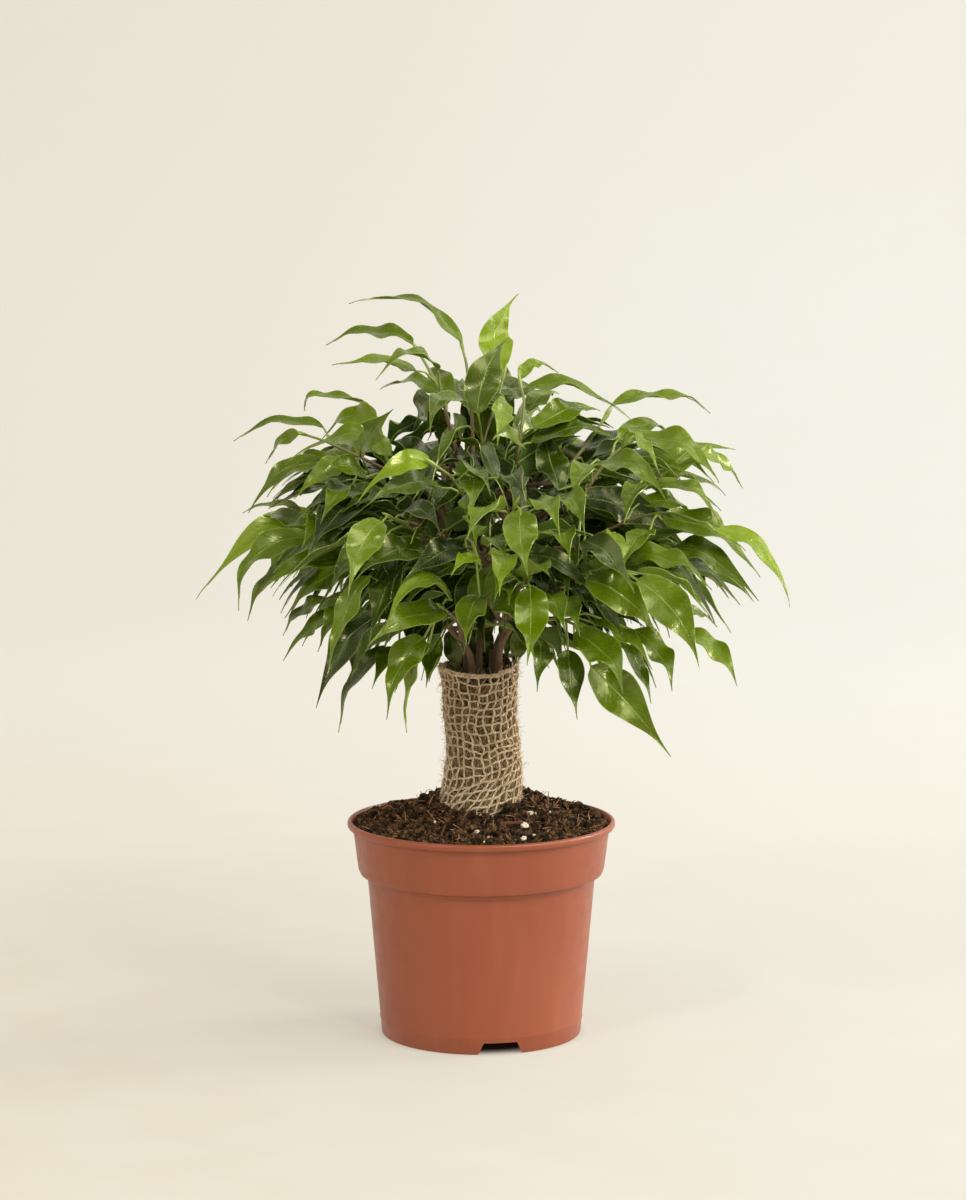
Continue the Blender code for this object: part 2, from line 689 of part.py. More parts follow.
def free_leaves(room, twig, name, chance, count, droop):
    """Leaves on alternate sides of a twig, where there is room for them inside the crown."""
    leaves = []
    ahead = (twig[-1] - twig[0]).normalized()
    for k in range(count):
        place = line_point(twig, 0.12 + 0.86 * k / (count - 1))
        side = ahead.cross(UP).normalized() * (1 if k % 2 else -1)
        if k == count - 1:
            side = side * 0.2
        for _ in range(LEAF_TRIES):
            leaf = free_leaf(place, ahead, side, chance, droop)
            leaf = place_leaf(room, leaf, twig, name, ((Vector(), 0.0),), inside_outline)
            if leaf:
                leaves.append(leaf)
                break
    return leaves


def ray_line(azimuth, rise, start, reach, arch):
    """Twig line that leaves the crown's core in a direction and arches over."""
    azimuth, rise = math.radians(azimuth), math.radians(rise)
    flat = Vector((math.cos(azimuth), math.sin(azimuth), 0))
    away = flat * math.cos(rise) + UP * math.sin(rise)
    points = []
    for share in (0.0, 0.4, 0.75, 1.0):
        out = start + (reach - start) * share
        points.append(CROWN_MIDDLE + away * out * MM + UP * arch * MM * math.sin(math.pi * share))
    return points


def hidden_twigs():
    """Line, leaf count and droop of each shoot of the far side, in tiers, and of the inside."""
    twigs = {}
    for tier, (count, first, rise, reach, droop) in enumerate(HIDDEN_TIERS):
        for k in range(count):
            name = f"far_{tier + 1}_{k + 1}"
            chance = random.Random(name)
            azimuth = first + (180.0 - 2 * first) * k / (count - 1)
            line = ray_line(azimuth, rise + chance.uniform(-5, 5), 36, reach * chance.uniform(0.8, 1.0), 7)
            twigs[name] = line, FAR_LEAVES, droop
    for k in range(INNER_SHOOTS):
        name = f"inner_{k + 1}"
        chance = random.Random(name)
        line = ray_line(INNER_TURN * k, chance.uniform(-12, 50), 24, chance.uniform(48, 66), 3)
        twigs[name] = line, INNER_LEAVES, INNER_DROOP
    return twigs


def crown():
    """Main stems and every leafy shoot: first all of the twigs, then the leaves they have room for."""
    room = Room()
    stems = {}
    for name, points in STEM_LINES.items():
        stems[name] = smooth_line([Vector(point) * MM for point in points], 2)
        room.add(tube_mesh(stems[name], STEM_RADIUS_FOOT * MM), name)
    room.add(tube_mesh([Vector((0, 0, 0.09)), Vector((0, 0, 0.168))], 22 * MM), "sleeve")
    hidden = hidden_twigs()
    lines = {name: [photo_point(*point) for point in twig] for name, (twig, _) in SEEN_SPRAYS.items()}
    lines.update({name: line for name, (line, _, _) in hidden.items()})
    grown = {name: place_twig(room, stems, line, name, random.Random(name)) for name, line in lines.items()}
    shoots = []
    for name, (carrier, branch, twig) in grown.items():
        chance = random.Random(name + " leaves")
        if name in hidden:
            leaves = free_leaves(room, twig, name, chance, *hidden[name][1:])
        else:
            leaves = seen_leaves(room, twig, name, chance)
        shoots.append(Shoot(name, carrier, branch, twig, leaves))
    return stems, shoots


def clear_scene():
    """Empty the file and make the two collections."""
    for item in list(bpy.data.objects):
        bpy.data.objects.remove(item, do_unlink=True)
    parts = bpy.data.collections.new("weeping_fig")
    cutters = bpy.data.collections.new("weeping_fig_cutters")
    bpy.context.scene.collection.children.link(parts)
    bpy.context.scene.collection.children.link(cutters)
    return parts, cutters


PARTS, CUTTERS = clear_scene()


def material(name, colour, roughness):
    """Plain Principled material, found again by its name."""
    found = bpy.data.materials.get(name)
    if found:
        return found
    made = bpy.data.materials.new(name)
    made.use_nodes = True
    shader = made.node_tree.nodes["Principled BSDF"]
    shader.inputs["Base Color"].default_value = (*colour, 1)
    shader.inputs["Roughness"].default_value = roughness
    shader.inputs["Metallic"].default_value = 0.0
    return made


def add_object(name, mesh, finish=None, home=PARTS):
    """New object of a mesh, linked to its collection and given its material."""
    item = bpy.data.objects.new(name, mesh)
    home.objects.link(item)
    if finish:
        mesh.materials.clear()
        mesh.materials.append(finish)
    return item


def add_cutter(name, mesh):
    """Cutter object, drawn as wire and never rendered."""
    item = add_object(name, mesh, home=CUTTERS)
    item.display_type = "WIRE"
    item.hide_render = True
    return item


def mesh_from(name, points, faces):
    """Mesh of given points and faces, with its normals out."""
    mesh = bpy.data.meshes.new(name)
    mesh.from_pydata([tuple(point) for point in points], [], faces)
    mesh.update()
    return mesh


def turned(name, profile, steps, finish):
    """Solid of revolution: a profile in millimetres, outer side downwards, with a Screw."""
    mesh = bpy.data.meshes.new(name)
    edges = [(k, k + 1) for k in range(len(profile) - 1)]
    mesh.from_pydata([(radius * MM, 0, height * MM) for radius, height in profile], edges, [])
    item = add_object(name, mesh, finish)
    screw = item.modifiers.new("turn", "SCREW")
    screw.steps = steps
    screw.render_steps = steps
    screw.use_merge_vertices = True
    screw.merge_threshold = 0.00001
    screw.use_smooth_shade = False
    return item


def cut(item, cutter):
    """Boolean difference by one cutter."""
    boolean = item.modifiers.new("cut " + cutter.name, "BOOLEAN")
    boolean.operation = "DIFFERENCE"
    boolean.object = cutter


def applied(item):
    """Replace an object's mesh by its evaluated one and drop its modifiers."""
    graph = bpy.context.evaluated_depsgraph_get()
    mesh = bpy.data.meshes.new_from_object(item.evaluated_get(graph))
    item.modifiers.clear()
    item.data = mesh
    return item


def rounded(item):
    """Shade a round piece smooth, with its edges kept sharp."""
    item.data.shade_smooth()
    item.data.set_sharp_from_angle(angle=SMOOTH_ANGLE)
    return item


def primitive(name, build):
    """Mesh made by one bmesh primitive."""
    shape = bmesh.new()
    build(shape)
    mesh = bpy.data.meshes.new(name)
    shape.to_mesh(mesh)
    shape.free()
    return mesh


def cylinder(name, radius, low, high, place, sides):
    """Upright cylinder mesh between two heights, all in metres."""
    spot = Matrix.Translation((place[0], place[1], (low + high) / 2))
    return primitive(name, lambda shape: bmesh.ops.create_cone(
        shape, cap_ends=True, segments=sides, radius1=radius, radius2=radius, depth=high - low, matrix=spot))


def pot():
    """Tapered pot with a rolled lip, a collar, three notches in its foot and drain holes."""
    wall = POT_WALL
    profile = (
        (0, FLOOR_TOP),
        (BODY_FOOT[0] - wall + 0.3, FLOOR_TOP),
        (BODY_TOP[0] - wall, BODY_TOP[1]),
        (COLLAR_FOOT[0] - wall, COLLAR_FOOT[1]),
        (COLLAR_TOP[0] - wall, COLLAR_TOP[1] - 1),
        (LIP_RADIUS - 2.4, LIP_TOP - 0.5),
        (LIP_RADIUS - 1.0, LIP_TOP),
        (LIP_RADIUS, LIP_TOP - 0.9),
        (LIP_RADIUS, LIP_TOP - 2.4),
        COLLAR_TOP,
        COLLAR_FOOT,
        (COLLAR_FOOT[0] - 0.8, COLLAR_FOOT[1] - 1.6),
        (BODY_TOP[0] + 0.4, BODY_TOP[1] + 1.3),
        BODY_TOP,
        BODY_FOOT,
        (BODY_FOOT[0] - 0.7, 0),
        (BODY_FOOT[0] - 2.7, 0),
        (BODY_FOOT[0] - 2.1, FLOOR_UNDERSIDE),
        (0, FLOOR_UNDERSIDE),
    )
    item = turned("pot", profile, POT_STEPS, material("terracotta plastic", (0.42, 0.12, 0.05), 0.5))
    for k, angle in enumerate(NOTCH_ANGLES):
        turn = Matrix.Rotation(math.radians(angle), 4, "Z")
        cut(item, add_cutter(f"notch_{k + 1}", notch_cutter(turn)))
        hole = turn @ Vector((DRAIN_CIRCLE * MM, 0, 0))
        drain = cylinder("drain", DRAIN_RADIUS * MM, 3 * MM, 10 * MM, hole, 12)
        cut(item, add_cutter(f"drain_{k + 1}", drain))
    return rounded(applied(item))


def notch_cutter(turn):
    """Wedge with sloped ends that opens one drainage notch, across the wall of the foot."""
    slope = (NOTCH_WIDTH_FOOT - NOTCH_WIDTH_TOP) / NOTCH_HEIGHT
    points = []
    for radius in (BODY_FOOT[0] - 5, BODY_FOOT[0] + 3):
        for height in (-1.0, NOTCH_HEIGHT):
            half = (NOTCH_WIDTH_FOOT - slope * height) / 2
            for side in (-1, 1):
                points.append(turn @ Vector((radius * MM, side * half * MM, height * MM)))

    def build(shape):
        corners = [shape.verts.new(point) for point in points]
        bmesh.ops.convex_hull(shape, input=corners)

    return primitive("notch", build)


def soil_height(x, y):
    """Height of the soil in millimetres: level at the pot, mounded round the sleeve, rough."""
    radius, angle = math.hypot(x, y), math.atan2(y, x)
    near = 1 - smoothstep(SOIL_RINGS[0], 46.0, radius)
    back = ((1 + math.sin(angle)) / 2) ** 0.35
    crest = SOIL_FRONT_HEIGHT + SOIL_MOUND * back
    rough = math.sin(0.37 * x + 1.3) * math.cos(0.33 * y - 0.4) + 0.6 * math.sin(0.81 * x - 0.62 * y)
    fade = smoothstep(56.0, 48.0, radius) if radius > 48.0 else 1.0
    return SOIL_EDGE_HEIGHT + (crest - SOIL_EDGE_HEIGHT) * near + SOIL_BUMP * rough * fade


def soil():
    """Soil that fills the pot, with a plain stepped hole for the sleeve and the moss column."""
    well = COLUMN_RADIUS + 0.4
    profile = [(0, COLUMN_FOOT), (well, COLUMN_FOOT), (well, SLEEVE_LEDGE), (SOIL_RINGS[0], SLEEVE_LEDGE)]
    profile += [(radius, SOIL_EDGE_HEIGHT + 5) for radius in SOIL_RINGS]
    inset = POT_WALL + 0.5
    profile += [
        (COLLAR_TOP[0] - inset, COLLAR_TOP[1] - 1),
        (COLLAR_FOOT[0] - inset, COLLAR_FOOT[1] + 0.2),
        (BODY_TOP[0] - inset, BODY_TOP[1] + 0.2),
        (BODY_FOOT[0] - inset + 0.3, FLOOR_TOP + 0.3),
        (0, FLOOR_TOP + 0.3),
    ]
    item = applied(turned("soil", profile, SOIL_STEPS, material("potting soil", (0.03, 0.018, 0.012), 0.95)))
    for point in item.data.vertices:
        if point.co.z > SOIL_EDGE_HEIGHT * MM + 4 * MM:
            point.co.z = soil_height(point.co.x / MM, point.co.y / MM) * MM
    return item


def moss_column():
    """Moss packed round the stems inside the sleeve, with a plain hole for each stem."""
    mesh = cylinder("moss_column", COLUMN_RADIUS * MM, (COLUMN_FOOT + 0.3) * MM, COLUMN_TOP * MM, (0, 0),
                    COLUMN_STEPS)
    item = add_object("moss_column", mesh, material("packed moss", (0.07, 0.05, 0.025), 0.95))
    for name, points in STEM_LINES.items():
        place = Vector(points[0]) * MM
        hole = cylinder("hole", STEM_HOLE_RADIUS * MM, STEM_HOLE_FOOT * MM, (COLUMN_TOP + 5) * MM, place, 8)
        cut(item, add_cutter(name + "_hole", hole))
    return rounded(applied(item))


def laid_on(item, ground, x, y):
    """Lay a small piece on the ground at a place in millimetres, just clear of its highest spot."""
    tree = BVHTree.FromPolygons([point.co for point in ground.data.vertices],
                                [face.vertices for face in ground.data.polygons])
    corners = [point.co for point in item.data.vertices]
    ends = [edge.vertices for edge in item.data.edges]
    spots = corners + [(corners[a] + corners[b]) / 2 for a, b in ends]
    drops = []
    for spot in spots:
        above = Vector((x * MM + spot.x, y * MM + spot.y, COLUMN_TOP * MM))
        drops.append(tree.ray_cast(above, -UP)[0].z - spot.z)
    item.location = Vector((x * MM, y * MM, max(drops) + GAP))


def bark_chip(ground):
    """Sliver of bark on the soil, pointed at both ends."""
    mesh = primitive("bark_chip", lambda shape: bmesh.ops.create_cube(shape, size=1.0))
    for point in mesh.vertices:
        point.co = Vector([value * size for value, size in zip(point.co, CHIP_SIZE)]) * MM
        point.co.y += 0.5 * MM * (1 if point.co.x > 0 else -1)
        point.co.x += 0.8 * MM * (1 if point.co.y > 0 else -1)
    item = add_object("bark_chip", mesh, material("red bark", (0.18, 0.06, 0.035), 0.85))
    laid_on(item, ground, *CHIP_PLACE)


def perlite(ground):
    """Grains of perlite, small lumps on the soil."""
    white = material("perlite", (0.75, 0.73, 0.68), 0.9)
    for k, (x, y, radius) in enumerate(GRAINS):
        mesh = primitive("grain", lambda shape, radius=radius: bmesh.ops.create_icosphere(
            shape, subdivisions=1, radius=radius * MM))
        for point in mesh.vertices:
            point.co.z *= 0.75
            point.co.x *= 1.15
        item = rounded(add_object(f"perlite_{k + 1}", mesh, white))
        laid_on(item, ground, x, y)


def sleeve_radius(height):
    """Outer radius of the jute sleeve in millimetres at a height."""
    for (low, a), (high, b) in zip(SLEEVE_OUTLINE, SLEEVE_OUTLINE[1:]):
        if height <= high:
            return a + (b - a) * smoothstep(low, high, height)
    return SLEEVE_OUTLINE[-1][1]


def sleeve_top(angle):
    """Height of the sleeve's upper edge in millimetres, highest on the right."""
    return SLEEVE_TOP + 1.8 * math.cos(angle) + 0.8 * math.sin(2 * angle)


def jute_sleeve():
    """Jute tube with its net raised by a formula, the cells larger than life."""
    around, rows = 2 * SLEEVE_UPRIGHTS, 2 * SLEEVE_ROWS
    inner = [(SLEEVE_INNER_RADIUS, SLEEVE_LEDGE + 0.3), (SLEEVE_INNER_RADIUS, SLEEVE_TOP)]
    outer = [(sleeve_radius(SLEEVE_TOP), SLEEVE_TOP - (SLEEVE_TOP - SLEEVE_LEDGE - 0.3) * row / rows)
             for row in range(rows + 1)]
    profile = inner + outer + [inner[0]]
    item = applied(turned("jute_sleeve", profile, around, material("jute", (0.45, 0.33, 0.2), 0.9)))
    for point in item.data.vertices:
        x, y, height = (value / MM for value in point.co)
        radius, angle = math.hypot(x, y), math.atan2(y, x)
        share = (height - SLEEVE_LEDGE) / (SLEEVE_TOP - SLEEVE_LEDGE)
        if share > 0.01:
            height = SLEEVE_LEDGE + (sleeve_top(angle) - SLEEVE_LEDGE) * share
        if radius > SLEEVE_INNER_RADIUS + 0.2:
            row = round((1 - share) * rows)
            column = round(angle / (2 * math.pi) * around)
            valley = row % 2 == 1 and column % 2 == 1
            radius = sleeve_radius(height) - (SLEEVE_RELIEF if valley else 0.0)
        if share > 0.01:
            angle += SLEEVE_LEAN * (1 - smoothstep(0.0, 0.55, share)) * math.cos(angle * 0.5) ** 2
        point.co = Vector((radius * math.cos(angle), radius * math.sin(angle), height)) * MM
    return item


def tube(name, line, radii, resolution, finish=None):
    """Mesh object of a bevelled curve along a line, its end caps welded to its sides."""
    curve = bpy.data.curves.new(name, "CURVE")
    curve.dimensions = "3D"
    curve.bevel_depth = MM
    curve.bevel_resolution = resolution
    curve.use_fill_caps = True
    spline = curve.splines.new("POLY")
    spline.points.add(len(line) - 1)
    for knot, place, radius in zip(spline.points, line, radii):
        knot.co = (*place, 1)
        knot.radius = radius
    holder = add_object(name + "_line", curve)
    graph = bpy.context.evaluated_depsgraph_get()
    mesh = bpy.data.meshes.new_from_object(holder.evaluated_get(graph))
    shape = bmesh.new()
    shape.from_mesh(mesh)
    bmesh.ops.remove_doubles(shape, verts=shape.verts, dist=0.00001)
    shape.to_mesh(mesh)
    shape.free()
    item = add_object(name, mesh, finish)
    item.matrix_world = holder.matrix_world
    bpy.data.objects.remove(holder, do_unlink=True)
    return item


def keep_body(mesh):
    """Fill hollows that fusing sealed and drop loose scraps: only the largest shell stays."""
    shape = bmesh.new()
    shape.from_mesh(mesh)
    shells, waiting = [], set(shape.verts)
    while waiting:
        shell, front = set(), [waiting.pop()]
        while front:
            corner = front.pop()
            shell.add(corner)
            for edge in corner.link_edges:
                other = edge.other_vert(corner)
                if other in waiting:
                    waiting.discard(other)
                    front.append(other)
        shells.append(shell)
    body = max(shells, key=len)
    bmesh.ops.delete(shape, geom=[corner for corner in shape.verts if corner not in body], context="VERTS")
    shape.to_mesh(mesh)
    shape.free()


def fused(name, base, others, finish):
    """One object of a base and a collection of others, joined by one Boolean union."""
    group = bpy.data.collections.new(name + "_pieces")
    bpy.context.scene.collection.children.link(group)
    for other in others:
        PARTS.objects.unlink(other)
        group.objects.link(other)
    union = base.modifiers.new("fuse", "BOOLEAN")
    union.operation = "UNION"
    union.operand_type = "COLLECTION"
    union.collection = group
    union.solver = "MANIFOLD"
    applied(base)
    keep_body(base.data)
    for other in others:
        bpy.data.objects.remove(other, do_unlink=True)
    bpy.data.collections.remove(group)
    base.name = name
    base.data.materials.clear()
    base.data.materials.append(finish)
    return base


def taper(count, foot, top):
    """Radii along a line of so many points, in millimetres."""
    return [foot + (top - foot) * k / (count - 1) for k in range(count)]


def stem(name, line, branches):
    """Main stem with the side branches that carry its shoots."""
    bark = material("fig bark", (0.17, 0.1, 0.055), 0.8)
    base = tube(name, line, taper(len(line), STEM_RADIUS_FOOT, STEM_RADIUS_TOP), 1, bark)
    arms = [tube(f"{name}_arm_{k}", branch, taper(len(branch), BRANCH_RADIUS, TWIG_RADIUS_FOOT), 0)
            for k, branch in enumerate(branches)]
    return rounded(fused(name, base, arms, bark))


def leafy_shoot(shoot):
    """Green twig with its leaves fused on."""
    green = material("fig leaf", (0.1, 0.25, 0.03), 0.4)
    base = tube(shoot.name, shoot.twig, taper(len(shoot.twig), TWIG_RADIUS_FOOT, TWIG_RADIUS_TOP), 0, green)
    blades = []
    for k, leaf in enumerate(shoot.leaves):
        blades.append(add_object(f"{shoot.name}_leaf_{k}", mesh_from("leaf", *leaf_mesh(leaf))))
    return fused("shoot_" + shoot.name, base, blades, green)


def main():
    pot()
    ground = soil()
    bark_chip(ground)
    perlite(ground)
    moss_column()
    jute_sleeve()
    stems, shoots = crown()
    for name, line in stems.items():
        stem(name, line, [shoot.branch for shoot in shoots if shoot.stem == name])
    for shoot in shoots:
        leafy_shoot(shoot)


main()
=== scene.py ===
# %% [markdown]
# # A weeping fig in its pot
#
# A young weeping fig is a crown of thin twigs with hanging, pointed leaves. Its stems stand in a
# column of moss that a sleeve of open jute holds, and the column stands in the soil of a plastic
# pot. The solids of all this are made already. This notebook loads them as a fixed frame and
# gives every one of them its fine shape and its finish.

import json
import math
import random
from collections import namedtuple

import bpy
import bmesh
from mathutils import Matrix, Vector, noise
from mathutils.bvhtree import BVHTree

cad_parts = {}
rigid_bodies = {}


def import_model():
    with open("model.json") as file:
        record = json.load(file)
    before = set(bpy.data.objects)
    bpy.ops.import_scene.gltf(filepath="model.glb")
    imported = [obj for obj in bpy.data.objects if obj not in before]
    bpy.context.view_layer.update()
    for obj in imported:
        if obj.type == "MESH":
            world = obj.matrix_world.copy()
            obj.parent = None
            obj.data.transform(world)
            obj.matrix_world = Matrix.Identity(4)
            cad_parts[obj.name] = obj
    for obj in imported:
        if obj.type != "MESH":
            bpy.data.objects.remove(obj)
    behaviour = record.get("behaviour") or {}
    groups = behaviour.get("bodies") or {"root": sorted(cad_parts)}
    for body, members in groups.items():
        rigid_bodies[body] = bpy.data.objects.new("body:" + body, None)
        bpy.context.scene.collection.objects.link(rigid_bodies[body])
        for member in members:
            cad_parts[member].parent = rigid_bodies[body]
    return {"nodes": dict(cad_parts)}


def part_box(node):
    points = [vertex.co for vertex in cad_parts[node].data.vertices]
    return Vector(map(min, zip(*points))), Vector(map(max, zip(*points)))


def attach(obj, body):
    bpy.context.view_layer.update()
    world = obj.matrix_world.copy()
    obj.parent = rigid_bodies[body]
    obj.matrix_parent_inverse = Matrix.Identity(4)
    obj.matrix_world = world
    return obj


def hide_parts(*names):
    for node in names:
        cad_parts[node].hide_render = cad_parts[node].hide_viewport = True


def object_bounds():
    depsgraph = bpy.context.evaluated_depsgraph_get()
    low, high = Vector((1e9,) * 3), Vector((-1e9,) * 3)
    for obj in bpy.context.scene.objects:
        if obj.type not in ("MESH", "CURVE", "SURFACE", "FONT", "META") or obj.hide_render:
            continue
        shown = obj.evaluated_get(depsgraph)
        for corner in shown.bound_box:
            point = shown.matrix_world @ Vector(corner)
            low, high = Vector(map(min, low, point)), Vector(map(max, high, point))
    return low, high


for unwanted in list(bpy.data.objects):
    bpy.data.objects.remove(unwanted)
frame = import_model()
CAD_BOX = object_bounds()
MM = 0.001
GAP = 0.3 * MM
WELD = 0.00001
UP = Vector((0, 0, 1))
FULL_TURN = 6.28
print("nodes:", len(frame["nodes"]), "height in mm:", round(CAD_BOX[1].z / MM))

# %% [markdown]
# ## The camera first
#
# The photograph was taken with a long lens from about 1.6 m away, a little above the crown. Its
# place was found once, from the pot: the ellipse of the rim gives the height, and the taper of
# the sides gives the distance. A camera comes first because leaves are placed through it below.

# %% Camera of the photograph
VIEW_PLACE = Vector((0.0008, -1.603, 0.412))
VIEW_PITCH = math.radians(7.67)
VIEW_FOCUS_PX = 3634.0
VIEW_MIDDLE_PX = (483.0, 600.0)
VIEW_HEIGHT_PX = 1200.0
VIEW_AHEAD = Vector((0, math.cos(VIEW_PITCH), -math.sin(VIEW_PITCH)))
VIEW_RISE = Vector((0, math.sin(VIEW_PITCH), math.cos(VIEW_PITCH)))
SENSOR_MM = 36.0

eye = bpy.data.objects.new("eye", bpy.data.cameras.new("eye"))
eye.data.sensor_width = SENSOR_MM
eye.data.lens = SENSOR_MM * VIEW_FOCUS_PX / VIEW_HEIGHT_PX
eye.location = VIEW_PLACE
eye.rotation_euler = (math.pi / 2 - VIEW_PITCH, 0, 0)
bpy.context.scene.collection.objects.link(eye)
bpy.context.scene.camera = eye
print("lens in mm:", round(eye.data.lens, 1))

# %% [markdown]
# ## Small tools for node trees
#
# Geometry and materials are both trees of nodes here. One helper adds a node, sets its options
# and plugs things into it: plain numbers or other nodes, for each socket in turn.


# %% Tools for node trees
def wire(tree, kind, *values, **settings):
    """Add a node, set its options, and fill its sockets in order with numbers or other nodes."""
    node = tree.nodes.new(kind)
    for option, value in settings.items():
        setattr(node, option, value)
    for socket, value in zip([socket for socket in node.inputs if socket.enabled], values):
        if isinstance(value, bpy.types.Node):
            value = next(output for output in value.outputs if output.enabled)
        if isinstance(value, bpy.types.NodeSocket):
            tree.links.new(value, socket)
        elif value is not None:
            socket.default_value = value
    return node


def maths(tree, operation, *values):
    """One step of arithmetic."""
    return wire(tree, "ShaderNodeMath", *values, operation=operation)


def times(tree, first, second):
    """Product of two numbers."""
    return maths(tree, "MULTIPLY", first, second)


def vectors(tree, operation, *values):
    """One step of vector arithmetic."""
    return wire(tree, "ShaderNodeVectorMath", *values, operation=operation)


def between(tree, value, low, high, start=0.0, end=1.0):
    """Soft step from start to end while a value goes from low to high."""
    return wire(tree, "ShaderNodeMapRange", value, low, high, start, end, interpolation_type="SMOOTHSTEP")


# %% [markdown]
# Every Geometry Nodes tree below has named sizes on its modifier. `grown` sets them by their
# identifiers, lets the tree work, and keeps the result as a plain mesh, because an exported
# model can't hold a live tree. A tree can also leave a named mark on what it makes, such as how
# far along a yarn a point lies, and a finish can read that mark.


# %% Growing a mesh from a node tree
def link(name, mesh):
    """Object of a mesh, linked to the scene."""
    piece = bpy.data.objects.new(name, mesh)
    bpy.context.scene.collection.objects.link(piece)
    return piece


def settled(piece):
    """Keep what the modifiers make, and drop the modifiers."""
    graph = bpy.context.evaluated_depsgraph_get()
    mesh = bpy.data.meshes.new_from_object(piece.evaluated_get(graph))
    piece.modifiers.clear()
    piece.data = mesh
    return piece


def new_tree(name, sizes):
    """Geometry tree with named inputs: label, kind of socket and usual value."""
    tree = bpy.data.node_groups.new(name, "GeometryNodeTree")
    tree.interface.new_socket("Geometry", in_out="INPUT", socket_type="NodeSocketGeometry")
    for label, kind, value in sizes:
        socket = tree.interface.new_socket(label, in_out="INPUT", socket_type="NodeSocket" + kind)
        socket.default_value = value
    tree.interface.new_socket("Geometry", in_out="OUTPUT", socket_type="NodeSocketGeometry")
    start = tree.nodes.new("NodeGroupInput")
    return tree, start.outputs


def named(tree, label, kind="FLOAT"):
    """A mark of the geometry, read back in the tree."""
    return wire(tree, "GeometryNodeInputNamedAttribute", label, data_type=kind).outputs["Attribute"]


def stored(tree, geometry, label, value, kind="FLOAT", domain="POINT"):
    """The geometry with a value left on it as a mark."""
    return wire(tree, "GeometryNodeStoreNamedAttribute", geometry, None, label, value,
                data_type=kind, domain=domain)


def joined(tree, *parts):
    """Several geometries as one."""
    join = tree.nodes.new("GeometryNodeJoinGeometry")
    for part in parts:
        tree.links.new(part, join.inputs[0])
    return join


def finish_tree(tree, geometry, *finishes):
    """End a tree: instances made real, then a finish for all, and for faces of each further kind."""
    last = wire(tree, "GeometryNodeRealizeInstances", geometry)
    for kind, finish in enumerate(finishes):
        chosen = None
        if kind:
            chosen = wire(tree, "FunctionNodeCompare", named(tree, "kind", "INT"), kind,
                          data_type="INT", operation="EQUAL")
        last = wire(tree, "GeometryNodeSetMaterial", last, chosen, finish.material)
    wire(tree, "NodeGroupOutput", last)


def grown(name, mesh, tree, **sizes):
    """Grow a node tree on a mesh and keep what it makes as a plain mesh object."""
    piece = link(name, mesh)
    modifier = piece.modifiers.new("growth", "NODES")
    modifier.node_group = tree
    labels = {socket.name.replace(" ", "_"): socket.identifier for socket in tree.interface.items_tree}
    for label, value in sizes.items():
        modifier[labels[label]] = value
    return settled(piece)


def marked_mesh(name, points, edges, marks):
    """Mesh whose points carry named values: numbers, or vectors."""
    mesh = bpy.data.meshes.new(name)
    mesh.from_pydata(points, edges, [])
    for label, values in marks.items():
        is_vector = isinstance(values[0], Vector)
        layer = mesh.attributes.new(label, "FLOAT_VECTOR" if is_vector else "FLOAT", "POINT")
        if is_vector:
            layer.data.foreach_set("vector", [number for value in values for number in value])
        else:
            layer.data.foreach_set("value", values)
    return mesh


def place(piece, slot, *nodes, body="root"):
    """Put a finished piece on its body and hide the solids it stands for. The slot, its finish, is not used.
    """
    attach(piece, body)
    if nodes:
        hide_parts(*nodes)
    piece.data.calc_loop_triangles()
    print(piece.name, len(piece.data.loop_triangles), "triangles")


# %% [markdown]
# ## Finishes
#
# A real surface is never one flat colour. Each finish below starts from the colour in the
# photograph and is broken up by noise of the right scale, in colour, in gloss and in relief.
# Patterns read Object coordinates, so they stay on the piece from every side.


